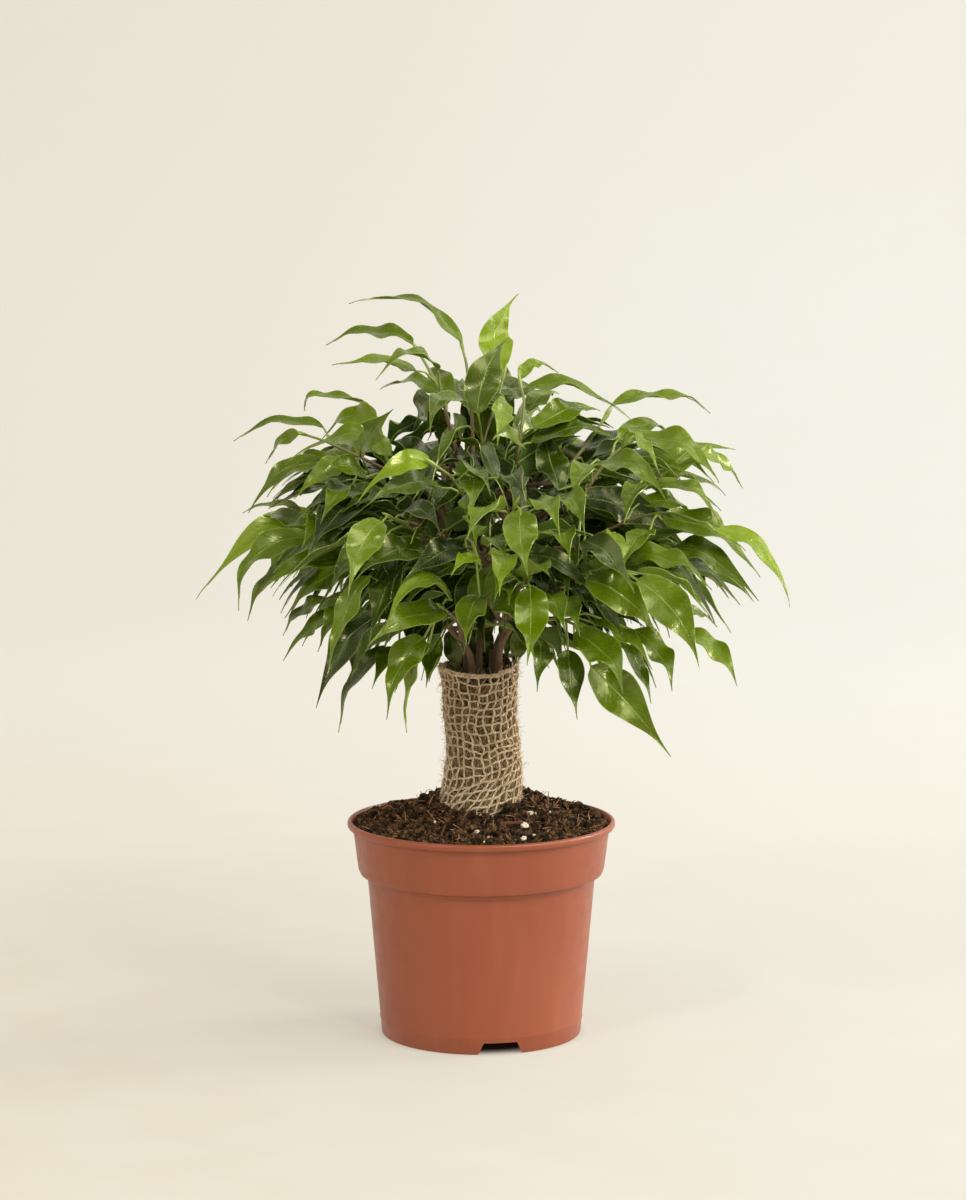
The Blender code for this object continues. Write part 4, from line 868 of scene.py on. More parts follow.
yarns = []
for column in range(UPRIGHTS):
    frayed = chance.uniform(0.0, MOST_FRAY)
    steps = [k / YARN_STEPS for k in range(int((ROWS + frayed) * YARN_STEPS))]
    yarns.append([net_point(column, row, math.cos(math.pi * (row + column))) for row in steps])
for row in [*range(1, ROWS + 1), *[ROWS + extra for extra in EDGE_ROWS]]:
    row -= ROW_SHIFT
    steps = [k / YARN_STEPS for k in range((UPRIGHTS + 1) * YARN_STEPS)]
    yarns.append([net_point(column, row, -math.cos(math.pi * (column + row))) for column in steps])
thickness = []
for number, yarn in enumerate(yarns):
    for k in range(len(yarn)):
        slub = noise.noise(Vector((number * 5.1, k * 0.21, 0)))
        end = min(1.0, 0.35 + 0.3 * min(k, len(yarn) - 1 - k))
        thickness.append(YARN_RADIUS * MM * (1 + SLUBS * slub) * end)
points = [point for yarn in yarns for point in yarn]
cores = marked_mesh("net", points, chains(yarns), {"thick": thickness})
net = grown("jute_net", cores, tube_tree("yarns", JUTE, YARN_SIDES))
place(net, "jute", "jute_sleeve")

# %% [markdown]
# Jute is fuzzy: short hairs stand off every yarn and fill the meshes. They are real hairs from
# the scattering tree, because the sleeve's outline shows them. Soil clings to its foot.

# %% Fuzz on the yarns
FUZZ = Finish("jute_fuzz", 0.9, 0.2)
pattern = FUZZ.cloud(FUZZ.on_object(), 3.0, 2.0)
FUZZ.feed(FUZZ.blend(pattern, (0.62, 0.45, 0.26), (0.97, 0.79, 0.55)))

litter("sleeve_dirt", top_of(net, LITTER_LOW, -1.0, 104), CRUMBS, "potting_soil", 2.2e5, 0.15, 0.9, 2)
FUZZ_TREE = scatter_tree("fuzz", hair, FUZZ, 0.4)
fuzz = litter("jute_fuzz", net.data.copy(), FUZZ_TREE, "jute", 3.6e5, 0.25, 1.2, 12)
LINT_TREE = scatter_tree("lint", hair, FUZZ, 0.5)
ground = top_of(moss, SLEEVE_LEDGE + 10, -0.5)
litter("jute_lint", ground, LINT_TREE, "jute", 3.0e5, 0.4, 1.3, 31)

# %% [markdown]
# ## Where the leaves grow
#
# A fig's crown has a few hundred leaves, and no two hang alike. Those that the photograph shows
# were read off it: for each, the pixels of its base and tip, how many millimetres nearer than the
# trunk both ends are, how far the blade is turned from the viewer, its width, and its tone from 1,
# deep green, to 9, yellow green, which is partly how old it is and partly painted light and shade.
# The last two numbers of a longer row are a place on the mid rib. Each spray starts with the
# points of its twig.

# %% Leaves read off the photograph
SPRAYS = {name: rows for name, *rows in (
    ("top_left", ((452, 436, 15), (441, 395, 12), (428, 368, 8), (419, 353, 4)),
     (413, 344, 326, 342, 6, 0, 66, 18, 4, 372, 331), (416, 371, 332, 362, 22, 22, 66, 17, 6, 380, 362),
     (438, 370, 376, 377, 24, 34, 64, 17, 4, 410, 353), (440, 393, 380, 387, 4, 0, 66, 16, 4, 410, 381),
     (447, 404, 429, 367, 0, -8, 15, 17, 5), (434, 394, 414, 424, -6, -14, 25, 20, 4),
     (441, 408, 439, 447, -10, -14, 15, 16, 4)),
    ("top_arch", ((473, 446, 8), (471, 405, 4), (467, 368, 0), (463, 350, -2)),
     (462, 343, 349, 300, -2, -10, 70, 15, 4, 414, 302), (466, 402, 430, 430, 26, 44, 40, 17, 3, 440, 401),
     (464, 405, 449, 375, -4, -10, 50, 11, 3)),
    ("top_centre", ((480, 475, 20), (484, 440, 16), (497, 400, 8), (503, 378, 4)),
     (503, 370, 518, 292, -2, -10, 12, 18, 8, 496, 332), (478, 414, 509, 335, 28, 26, 8, 18, 3, 486, 372),
     (482, 408, 484, 460, 4, -8, 30, 13, 3), (506, 402, 497, 446, 14, 18, 30, 15, 7)),
    ("top_right", ((516, 480, 22), (520, 440, 20), (524, 405, 14), (521, 386, 10)),
     (521, 379, 558, 371, 4, 2, 55, 10, 7, 534, 364), (526, 388, 633, 419, 8, 18, 64, 17, 5, 578, 388),
     (528, 412, 559, 392, 4, -4, 45, 15, 5), (533, 428, 600, 408, 22, 14, 42, 17, 5, 570, 410),
     (524, 450, 492, 438, 40, 52, 45, 15, 4, 508, 433)),
    ("bare_twig", ((566, 470, 20), (585, 446, 16), (603, 421, 12)),
     (612, 405, 710, 410, 8, 4, 68, 15, 6, 668, 395), (586, 468, 568, 455, 0, -4, 20, 10, 8)),
    ("right_high", ((585, 492, 30), (606, 462, 28), (624, 445, 26)),
     (618, 440, 678, 441, 12, 6, 58, 15, 5, 648, 425), (634, 437, 719, 480, 30, 32, 50, 19, 6, 684, 447),
     (629, 430, 660, 474, 42, 50, 60, 12, 6), (592, 467, 667, 499, 48, 54, 48, 19, 4, 634, 467),
     (590, 470, 572, 506, 42, 52, 25, 17, 5), (558, 490, 538, 421, 46, 40, 20, 17, 2, 549, 455)),
    ("right_upper", ((598, 508, 8), (638, 484, 6), (676, 464, 2)),
     (662, 480, 735, 447, 4, -6, 36, 17, 6, 692, 451), (700, 453, 742, 486, 0, -4, 58, 13, 7, 722, 462),
     (655, 484, 719, 520, 20, 26, 58, 15, 6, 693, 491), (640, 484, 624, 522, 26, 34, 30, 16, 6)),
    ("right_outer", ((588, 540, 22), (630, 520, 24), (668, 513, 30), (702, 523, 44)),
     (662, 520, 760, 574, 30, 36, 46, 20, 4, 713, 531), (715, 531, 791, 605, 54, 64, 50, 13, 8, 761, 551),
     (640, 503, 703, 525, 14, 12, 58, 15, 6, 676, 504), (650, 531, 622, 566, 40, 50, 35, 17, 5)),
    ("right_middle", ((582, 566, 22), (622, 550, 24), (660, 545, 24)),
     (668, 548, 759, 598, 26, 30, 48, 20, 4, 712, 559), (630, 556, 712, 587, 52, 56, 48, 19, 5, 672, 561),
     (612, 533, 624, 573, 56, 64, 50, 16, 7), (584, 541, 634, 590, 72, 82, 30, 18, 2)),
    ("right_front", ((556, 588, 40), (588, 574, 60), (622, 574, 66)),
     (586, 580, 658, 635, 84, 92, 18, 20, 4, 628, 600), (637, 580, 700, 666, 74, 84, 12, 21, 6, 676, 614),
     (674, 612, 717, 625, 30, 24, 58, 13, 6), (680, 632, 737, 684, 34, 36, 48, 15, 7, 717, 651),
     (562, 598, 580, 634, 74, 82, 25, 16, 4)),
    ("right_low", ((532, 620, 36), (556, 618, 56), (576, 625, 68)),
     (574, 634, 623, 691, 82, 90, 18, 20, 4, 607, 656), (591, 666, 671, 754, 76, 84, 12, 21, 4, 628, 704),
     (568, 650, 577, 718, 66, 70, 22, 15, 3, 571, 682), (616, 640, 651, 702, 40, 44, 56, 15, 5, 638, 667),
     (592, 622, 652, 667, 60, 64, 58, 17, 6, 626, 637), (634, 630, 672, 689, 46, 50, 40, 17, 4, 661, 656)),
    ("centre_low", ((506, 606, 46), (516, 588, 70), (527, 580, 84)),
     (530, 588, 527, 663, 94, 98, 6, 19, 5, 531, 624), (542, 640, 537, 690, 60, 62, 30, 15, 3),
     (546, 594, 566, 632, 78, 82, 25, 16, 4)),
    ("centre_front", ((500, 558, 56), (506, 528, 84), (515, 506, 94)),
     (521, 511, 528, 574, 104, 110, 4, 19, 5, 521, 540), (503, 553, 499, 594, 92, 100, 12, 18, 8),
     (487, 546, 507, 566, 92, 104, 40, 15, 5, 497, 541), (532, 505, 560, 536, 88, 100, 30, 18, 6, 549, 505),
     (554, 498, 585, 533, 78, 88, 25, 18, 4, 574, 502), (556, 534, 570, 560, 84, 104, 20, 17, 5, 565, 537)),
    ("centre_left", ((480, 560, 50), (456, 552, 72), (436, 549, 80)),
     (480, 563, 451, 574, 98, 108, 45, 13, 8, 465, 560), (480, 596, 466, 643, 88, 94, 16, 17, 4, 469, 616),
     (466, 548, 400, 582, 82, 90, 32, 16, 1, 436, 556), (438, 546, 410, 541, 72, 84, 25, 17, 2, 425, 527),
     (424, 552, 356, 576, 70, 78, 30, 19, 3, 391, 553)),
    ("centre_twig", ((486, 524, 40), (466, 500, 56), (452, 478, 66), (436, 466, 70)),
     (430, 463, 356, 502, 70, 76, 30, 12, 8, 396, 467), (441, 488, 366, 503, 58, 60, 46, 18, 3, 404, 485),
     (474, 478, 472, 513, 84, 96, 20, 18, 4, 473, 489), (506, 478, 526, 498, 78, 90, 30, 17, 2, 514, 478)),
    ("left_face", ((446, 560, 30), (416, 532, 54), (392, 518, 66)),
     (382, 522, 348, 595, 80, 88, 10, 18, 6, 361, 548), (402, 514, 440, 530, 62, 72, 40, 17, 1, 424, 512),
     (378, 544, 330, 590, 66, 72, 40, 17, 3, 350, 560)),
    ("left_low_front", ((458, 622, 34), (448, 612, 60), (440, 606, 74)),
     (446, 613, 367, 643, 84, 88, 36, 19, 5, 408, 618), (452, 600, 383, 632, 92, 96, 52, 16, 7, 416, 582),
     (429, 643, 407, 732, 76, 82, 56, 13, 8, 410, 680), (424, 638, 387, 718, 68, 74, 28, 17, 5, 400, 668),
     (436, 650, 426, 686, 56, 58, 40, 13, 5)),
    ("left_low", ((440, 610, 16), (410, 602, 32), (384, 602, 44)),
     (379, 614, 316, 706, 54, 60, 40, 18, 1, 342, 650), (385, 646, 339, 731, 38, 42, 60, 14, 2, 352, 686),
     (370, 576, 329, 668, 68, 78, 46, 15, 6, 344, 616), (399, 646, 372, 687, 46, 48, 40, 14, 5),
     (362, 632, 351, 680, 36, 38, 50, 14, 3)),
    ("left_outer", ((414, 560, -4), (372, 542, -8), (334, 532, -14)),
     (322, 532, 195, 595, -24, -36, 32, 21, 9, 266, 533), (314, 538, 239, 608, 4, 6, 42, 16, 6, 256, 555),
     (343, 560, 260, 589, 24, 26, 44, 18, 5, 302, 563), (352, 572, 284, 616, 42, 40, 42, 17, 4, 320, 580),
     (300, 562, 248, 619, -8, -12, 56, 13, 4, 266, 582)),
    ("left_under", ((412, 592, -6), (374, 592, 2), (344, 598, 8)),
     (326, 600, 283, 634, 22, 20, 58, 13, 3, 300, 612), (336, 616, 283, 659, 26, 24, 56, 14, 4, 310, 628),
     (348, 606, 318, 650, 14, 14, 40, 15, 4)),
    ("left_high", ((404, 478, 6), (356, 456, 2), (327, 442, 0), (306, 435, 0)),
     (299, 434, 266, 462, 4, 2, 56, 11, 6, 281, 442), (323, 427, 234, 438, -4, -10, 68, 14, 4, 278, 422),
     (391, 455, 285, 461, 28, 20, 56, 16, 5, 345, 436), (377, 417, 322, 437, 10, 6, 44, 16, 7, 348, 417),
     (362, 450, 393, 407, 8, 14, 34, 16, 5, 374, 430), (368, 404, 305, 409, -6, -12, 76, 12, 6, 318, 395)),
    ("left_middle", ((414, 504, 4), (378, 480, 6), (352, 466, 8)),
     (340, 463, 282, 483, 22, 18, 48, 17, 5, 312, 465), (354, 459, 294, 497, 38, 38, 44, 14, 6, 324, 472),
     (325, 463, 249, 510, 2, -4, 54, 15, 4, 284, 472), (356, 457, 322, 455, 16, 10, 50, 12, 5),
     (366, 477, 322, 470, 30, 30, 40, 16, 4), (352, 486, 320, 522, 36, 40, 45, 15, 4)),
    ("left_shelf", ((410, 536, -10), (360, 524, -8), (316, 518, -6)),
     (300, 512, 243, 511, -4, -10, 72, 12, 5, 274, 504), (304, 525, 260, 521, 2, -2, 50, 15, 5, 282, 516),
     (330, 521, 302, 545, 22, 24, 35, 18, 6), (352, 520, 312, 512, 18, 14, 45, 17, 5)),
)}
# A leaf's tone from 1, deep green, to 9, yellow green, is partly how old it is and partly painted light and
# shade.
Leaf = namedtuple("Leaf", "root base via tip face width wave phase age", defaults=(None,))
Shoot = namedtuple("Shoot", "name stem branch twig leaves")
Seen = namedtuple("Seen", "base tip near turn width age via")


def seen(row):
    """A row of the table, with names for its numbers."""
    return Seen(row[0:2], row[2:4], row[4:6], *row[6:9], row[9:])


SEEN = {name: [seen(row) for row in rows[1:]] for name, rows in SPRAYS.items()}
print("sprays:", len(SEEN), "leaves:", sum(len(rows) for rows in SEEN.values()))

# %% [markdown]
# A pixel is a line of sight, and a depth picks one point on it. That is all it takes to turn a
# pixel into a place, and its reverse tells whether a leaf stays inside the crown's outline. Most
# of the leaves stay inside it, and the few that stick out of it were read off one by one.

# %% From pixels to places
CROWN_OUTLINE_PX = (
    (278, 604), (252, 566), (262, 520), (256, 488), (296, 450), (345, 424), (385, 402), (408, 378),
    (445, 368), (470, 382), (478, 350), (515, 325), (522, 374), (560, 388), (600, 416), (640, 428),
    (700, 444), (728, 474), (722, 512), (752, 552), (758, 596), (724, 645), (690, 676), (640, 694),
    (580, 694), (532, 664), (436, 664), (400, 704), (345, 694), (300, 654),
)
SLEEVE_WINDOW_PX = (432, 528, 652)


def photo_point(px, py, near):
    """The point under a pixel of the photograph, so many millimetres nearer than the trunk."""
    right = (px - VIEW_MIDDLE_PX[0]) / VIEW_FOCUS_PX
    rise = (VIEW_MIDDLE_PX[1] - py) / VIEW_FOCUS_PX
    ray = VIEW_AHEAD + VIEW_RISE * rise + Vector((right, 0, 0))
    return VIEW_PLACE + ray * ((-near * MM - VIEW_PLACE.y) / ray.y)


def photo_pixel(point):
    """The pixel of the photograph that a point falls on."""
    arm = point - VIEW_PLACE
    scale = VIEW_FOCUS_PX / arm.dot(VIEW_AHEAD)
    return VIEW_MIDDLE_PX[0] + arm.x * scale, VIEW_MIDDLE_PX[1] - arm.dot(VIEW_RISE) * scale


def inside_outline(point):
    """Whether a point falls inside the dense part of the crown and clear of the sleeve's front."""
    px, py = photo_pixel(point)
    if SLEEVE_WINDOW_PX[0] < px < SLEEVE_WINDOW_PX[1] and py > SLEEVE_WINDOW_PX[2] and point.y < 0:
        return False
    inside = False
    corners = CROWN_OUTLINE_PX
    for (ax, ay), (bx, by) in zip(corners, corners[1:] + corners[:1]):
        if (ay > py) != (by > py) and px < ax + (bx - ax) * (py - ay) / (by - ay):
            inside = not inside
    return inside


# %% [markdown]
# Leaves and twigs must not run through each other. Every new one is tried as a coarse closed
# shape against all that stand already, and moves a little until it is free.

# %% Coarse test shapes
STEM_RADIUS_FOOT = 2.4
STEM_RADIUS_TOP = 1.5
BRANCH_RADIUS = 1.25
TWIG_RADIUS_FOOT = 1.1
TWIG_RADIUS_TOP = 0.7
PETIOLE_RADIUS = 0.5
LEAF_THICKNESS = 1.0
LEAF_FOLD = 0.22
LEAF_WAVE = 0.16
LEAF_WAVES = 2.3
LEAF_STATIONS = (0.0, 0.3, 0.7)
CLEARANCE = 0.35
TEST_TUBE_MARGIN = 1.3


def width_share(u):
    """Half width of a blade along its mid rib, as a share of its greatest: round base, long tip."""
    return math.sin(math.pi * u ** 0.716) ** 0.85 * (1 - 0.72 * smoothstep(0.6, 1.0, u))


def midrib(leaf, u):
    """Point on the mid rib, an arc through base, via and tip."""
    control = 2 * leaf.via - (leaf.base + leaf.tip) / 2
    return (1 - u) ** 2 * leaf.base + 2 * u * (1 - u) * control + u * u * leaf.tip


def leaf_frame(leaf, u):
    """Direction, side and upper face of the blade at a place on its mid rib."""
    ahead = (midrib(leaf, min(u + 0.02, 1.0)) - midrib(leaf, max(u - 0.02, 0.0))).normalized()
    side = ahead.cross(leaf.face).normalized()
    return ahead, side, side.cross(ahead)


def blade_edges(leaf, u):
    """Left edge, mid rib, right edge and upper face of the blade, folded up from the rib and waved."""
    ahead, side, face = leaf_frame(leaf, u)
    centre = midrib(leaf, u)
    half = max(leaf.width / 2 * width_share(u), PETIOLE_RADIUS * MM)
    lift = half * LEAF_FOLD
    swing = leaf.wave * half * math.sin(2 * math.pi * LEAF_WAVES * u + leaf.phase)
    left = centre - side * half + face * (lift + swing)
    right = centre + side * half + face * (lift - swing)
    return left, centre, right, face


def ring_faces(spans, folded=False):
    """Triangles between square rings of points, and on the first ring."""
    faces = [(3, 2, 1), (3, 1, 0)]
    for ring in range(0, 4 * spans, 4):
        for k in range(4):
            a, b = ring + k, ring + (k + 1) % 4
            if folded and k % 2:
                faces += [(a, b, a + 4), (b, b + 4, a + 4)]
            else:
                faces += [(a, b, b + 4), (a, b + 4, a + 4)]
    return faces


def leaf_mesh(leaf, growth=0.0):
    """Points and triangles of a coarse closed leaf with its petiole."""
    thick = LEAF_THICKNESS * MM / 2 + growth
    rim = PETIOLE_RADIUS * MM + growth
    ahead, side, face = leaf_frame(leaf, 0.0)
    stalk = (leaf.base - leaf.root).normalized()
    across = (side - stalk * side.dot(stalk)).normalized()
    over = across.cross(stalk)
    root = leaf.root
    points = [root - across * rim, root + over * rim, root + across * rim, root - over * rim]
    for u in LEAF_STATIONS:
        left, centre, right, up = blade_edges(leaf, u)
        out = (right - left).normalized() * growth
        points += [left - out, centre + up * thick, right + out, centre - up * thick]
    points.append(leaf.tip + ahead * growth)
    last = 4 * len(LEAF_STATIONS)
    tip_faces = [(last + k, last + (k + 1) % 4, last + 4) for k in range(4)]
    return points, ring_faces(len(LEAF_STATIONS), True) + tip_faces


def tube_mesh(line, radius):
    """Points and triangles of a square tube that holds a round one."""
    radius *= TEST_TUBE_MARGIN
    points = []
    for i, here in enumerate(line):
        ahead = (line[min(i + 1, len(line) - 1)] - line[max(i - 1, 0)]).normalized()
        side = ahead.cross(UP)
        side = side.normalized() if side.length > 0.05 else Vector((1, 0, 0))
        over = side.cross(ahead)
        points += [here - side * radius, here + over * radius, here + side * radius, here - over * radius]
    last = len(points) - 4
    end_faces = [(last, last + 1, last + 2), (last, last + 2, last + 3)]
    return points, ring_faces(len(line) - 1) + end_faces


# %% Room in the crown
class Room:
    """What already stands in the crown, so that new growth keeps clear of it."""

    def __init__(self):
        self.taken = []

    @staticmethod
    def shape(mesh):
        """Middle, reach and search tree of a mesh."""
        points, faces = mesh
        middle = sum(points, Vector()) / len(points)
        reach = max((point - middle).length for point in points)
        return middle, reach, BVHTree.FromPolygons(points, faces)

    def add(self, mesh, name):
        """Take up the room of a mesh under a name."""
        self.taken.append((*self.shape(mesh), name))

    def free(self, mesh, ignore=()):
        """Whether a mesh touches nothing but what the ignored names took up."""
        middle, reach, tree = self.shape(mesh)
        for other_middle, other_reach, other_tree, name in self.taken:
            near = (middle - other_middle).length < reach + other_reach
            if near and name not in ignore and tree.overlap(other_tree):
                return False
        return True


def smooth_line(points, steps):
    """Points on a smooth curve through the given ones, a few to each span."""
    ends = [2 * points[0] - points[1], *points, 2 * points[-1] - points[-2]]
    line = []
    for a, b, c, d in zip(ends, ends[1:], ends[2:], ends[3:]):
        for step in range(steps):
            t = step / steps
            line.append(((2 * b) + (c - a) * t + (2 * a - 5 * b + 4 * c - d) * t * t
                         + (3 * b - a - 3 * c + d) * t ** 3) / 2)
    return line + [points[-1]]


def line_point(line, share):
    """Point at a share of the length of a line."""
    spans = [(b - a).length for a, b in zip(line, line[1:])]
    left = share * sum(spans)
    for a, b, span in zip(line, line[1:], spans):
        if left <= span:
            return a.lerp(b, left / span)
        left -= span
    return line[-1]


# %% [markdown]
# A leaf's stalk starts from its twig, behind the blade, so that it doesn't turn back on itself.
# The upper face of a leaf looks at the light, up and outwards, and the number read off the
# photograph turns it towards or away from the viewer.

# %% A leaf on its twig
ROOT_STEPS = 5
LEAF_SLIMNESS = 2.5
TOWARDS_VIEWER = 0.8


def root_on(twig, base, ahead):
    """Place on a twig that a leaf grows from: near its base, and behind it rather than under it."""
    best, best_cost = None, None
    for a, b in zip(twig, twig[1:]):
        for step in range(ROOT_STEPS):
            spot = a.lerp(b, (step + 0.5) / ROOT_STEPS)
            stalk = base - spot
            cost = max(stalk.length, 4 * MM) * (1.5 - stalk.normalized().dot(ahead))
            if best is None or cost < best_cost:
                best, best_cost = spot, cost
    return best


def seen_face(base, tip, turn):
    """Upper face of a leaf of the photograph: turned from the viewer towards up and outwards."""
    chord = (tip - base).normalized()
    viewer = (VIEW_PLACE - base).normalized()
    viewer = (viewer - chord * viewer.dot(chord)).normalized()
    raised = chord.cross(viewer)
    if raised.dot(UP + Vector((base.x, 0, 0)).normalized() * 0.4) < 0:
        raised = -raised
    turn = math.radians(turn)
    return viewer * math.cos(turn) + raised * math.sin(turn)


def seen_leaf(row, twig, chance):
    """Leaf at its place in the photograph, rooted in the nearest place on its twig."""
    shift = chance.uniform(-1, 1)
    base = photo_point(*row.base, row.near[0])
    across = (photo_point(*row.tip, row.near[0]) - base).length / MM
    hidden_length = TOWARDS_VIEWER * math.sqrt(max((LEAF_SLIMNESS * row.width) ** 2 - across ** 2, 0.0))
    step = row.near[1] - row.near[0]
    near_tip = row.near[0] + math.copysign(max(abs(step), hidden_length), step)
    tip = photo_point(*row.tip, near_tip)
    arch = UP * (tip - base).length * 0.1
    via = photo_point(*row.via, (row.near[0] + near_tip) / 2) if row.via else (base + tip) / 2 + arch
    root = root_on(twig, base, (via - base).normalized())
    return Leaf(root, base, via, tip, seen_face(base, tip, row.turn), row.width * MM,
                LEAF_WAVE * (1 + 0.3 * shift), chance.uniform(0, FULL_TURN), row.age)


def moved(leaf, offset, twig, lift=0.0):
    """The same leaf shifted as a whole, with its root back on the twig and its tip lifted."""
    base = leaf.base + offset
    tip = leaf.tip + offset + UP * lift
    via = leaf.via + offset
    return leaf._replace(root=root_on(twig, base, (via - base).normalized()), base=base, via=via, tip=tip)


def blade_only(leaf, growth):
    """Test shape of a leaf without the first part of its petiole, which joins the twig."""
    start = leaf.root.lerp(leaf.base, min(0.5, 3.0 * MM / (leaf.base - leaf.root).length))
    return leaf_mesh(leaf._replace(root=start), growth)


def folds_over(leaf):
    """Whether the surface of a leaf crosses itself."""
    points, faces = leaf_mesh(leaf)
    tree = BVHTree.FromPolygons(points, faces)
    return any(not set(faces[a]) & set(faces[b]) for a, b in tree.overlap(tree))


def place_leaf(room, leaf, twig, name, offsets, keep=None):
    """The leaf at the first of the given offsets where it touches nothing, or None."""
    for offset, lift in offsets:
        trial = moved(leaf, offset, twig, lift)
        if folds_over(trial):
            trial = trial._replace(wave=0.0, width=trial.width * 0.8)
        whole = leaf_mesh(trial, CLEARANCE * MM)
        if folds_over(trial) or (keep and not all(keep(point) for point in whole[0])):
            continue
        if not room.free(whole, (name + "_twig", name)):
            continue
        if room.free(blade_only(trial, CLEARANCE * MM), (name + "_twig",)):
            room.add(leaf_mesh(trial), name)
            return trial
    return None


# %% [markdown]
# Five stems rise out of the moss and fork into branches, and each branch carries one green twig.
# Twigs that the photograph shows start from their points there. The others fill the back and
# the inside of the crown in tiers, because a real plant is leafy all the way round.

# %% Stems, branches and twigs
STEM_LINES = {
    "stem_left": ((-5, -7, 131), (-5, -7, 152), (-5, -7, 172), (-17, -9, 189), (-44, -4, 226)),
    "stem_right": ((9, -5, 131), (9, -5, 152), (8, -6, 172), (13, -7, 200), (8, 4, 256)),
    "stem_back_left": ((-7, 6, 131), (-7, 6, 152), (-7, 7, 172), (-14, 15, 206), (-17, 6, 256)),
    "stem_back_right": ((6, 7, 131), (6, 7, 152), (6, 8, 172), (22, 18, 200), (50, 16, 240)),
    "stem_back": ((0, 0, 131), (0, 0, 152), (-1, 2, 171), (1, 26, 196), (-4, 58, 232)),
}
TWIG_TRIES = 200
TWIG_SHIFT = 0.5
MOST_TWIG_SHIFT = 16.0
FREE_STEM_AFTER = 20
BRANCH_DROP = 12
BRANCH_END = 7
BRANCH_ARCH = 2.5


def branch_line(stems, start, ahead, name=None):
    """Wood from the nearest main stem to the start of a twig, ending in line with it."""
    best = None
    for stem, line in stems.items():
        if name and stem != name:
            continue
        for a, b in zip(line[4:], line[5:]):
            for share in (0.0, 0.5):
                foot = a.lerp(b, share)
                drop = max(foot.z - start.z + BRANCH_DROP * MM, 0)
                cost = (foot - start).length + 3 * drop
                if best is None or cost < best[0]:
                    best = (cost, stem, foot)
    _, stem, foot = best
    end = start - ahead * GAP
    before = end - ahead * min(BRANCH_END * MM, (end - foot).length * 0.35)
    middle = (foot + before) / 2 + UP * BRANCH_ARCH * MM
    return stem, [foot, middle, before, end]


def jog(chance, amount):
    """Small shift at random."""
    return Vector([chance.uniform(-1, 1) for _ in range(3)]) * amount


def bent(line, chance, amount):
    """The line with its inner points moved a little at random."""
    return [line[0]] + [point + jog(chance, amount) for point in line[1:-1]] + [line[-1]]


def place_twig(room, stems, line, name, chance):
    """Branch and twig of a shoot, bent until they keep clear of everything placed before."""
    for attempt in range(TWIG_TRIES):
        amount = min(TWIG_SHIFT * attempt, MOST_TWIG_SHIFT) * MM
        twig = bent(line, chance, amount)
        twig[0] = line[0] + jog(chance, amount * 0.5)
        ahead = (twig[1] - twig[0]).normalized()
        pick = chance.choice(list(stems)) if attempt > FREE_STEM_AFTER else None
        stem, branch = branch_line(stems, twig[0], ahead, pick)
        branch = [branch[0], bent(branch[:3], chance, amount)[1], *branch[2:]]
        twig_mesh = tube_mesh(twig, (TWIG_RADIUS_FOOT + CLEARANCE) * MM)
        branch_mesh = tube_mesh(branch, (BRANCH_RADIUS + CLEARANCE) * MM)
        if not room.free(twig_mesh):
            continue
        tail = tube_mesh([branch[0].lerp(branch[1], 0.45), *branch[1:]], (BRANCH_RADIUS + CLEARANCE) * MM)
        if room.free(branch_mesh, (stem,)) and room.free(tail):
            room.add(tube_mesh(twig, TWIG_RADIUS_FOOT * MM), name + "_twig")
            room.add(tube_mesh(branch, BRANCH_RADIUS * MM), stem)
            return stem, branch, twig
    raise ValueError("no room for " + name)


# %% Leaves of the photograph and leaves out of sight
LEAF_TRIES = 26
VIEW_STEPS = (0, 3, -3, 6, -6, 9, -9, 13, -13, 17, -17, 22, -22, 28, -28)
VIEW_SHIFTS = ((0, 0, 0), (0, 0, 2), (2, 0, 0), (0, 0, -2), (-2, 0, 0), (4, 0, 3))
TIP_LIFTS = (0, 3, -3)
FREE_LENGTH = (42, 60)
FREE_STALK = (8, 12)
FREE_SLIMNESS = (0.32, 0.4)


def view_offsets(point):
    """Shifts along the line of sight, which leave a leaf's place in the photograph."""
    sight = (VIEW_PLACE - point).normalized() * MM
    return [(sight * step + Vector(shift) * MM, lift * MM)
            for shift in VIEW_SHIFTS for lift in TIP_LIFTS for step in VIEW_STEPS]


def seen_leaves(room, twig, name, chance):
    """The leaves of one spray of the photograph."""
    leaves = []
    for row in SEEN[name]:
        leaf = seen_leaf(row, twig, chance)
        leaves.append(place_leaf(room, leaf, twig, name, view_offsets(leaf.base)))
    return [leaf for leaf in leaves if leaf]


def free_leaf(start, ahead, side, chance, droop):
    """Leaf of a hidden shoot: out and to one side of its twig, arched, with a hanging tip."""
    length = chance.uniform(*FREE_LENGTH) * MM
    out = (ahead * chance.uniform(0.5, 1.1) + side * chance.uniform(0.5, 1.0)
           + UP * chance.uniform(-0.2, 0.35)).normalized()
    base = start + out * chance.uniform(*FREE_STALK) * MM
    sink = droop * chance.uniform(0.6, 1.3)
    tip = base + (out - UP * sink).normalized() * length
    via = (base + tip) / 2 + (UP * 0.6 + out * 0.4) * length * chance.uniform(0.08, 0.2)
    lean = Vector([chance.uniform(-0.35, 0.35) for _ in range(3)])
    face = (UP + out * 0.6 * sink + lean).normalized()
    width = length * chance.uniform(*FREE_SLIMNESS)
    return Leaf(start, base, via, tip, face, width, LEAF_WAVE * chance.uniform(0.7, 1.3),
                chance.uniform(0, FULL_TURN))


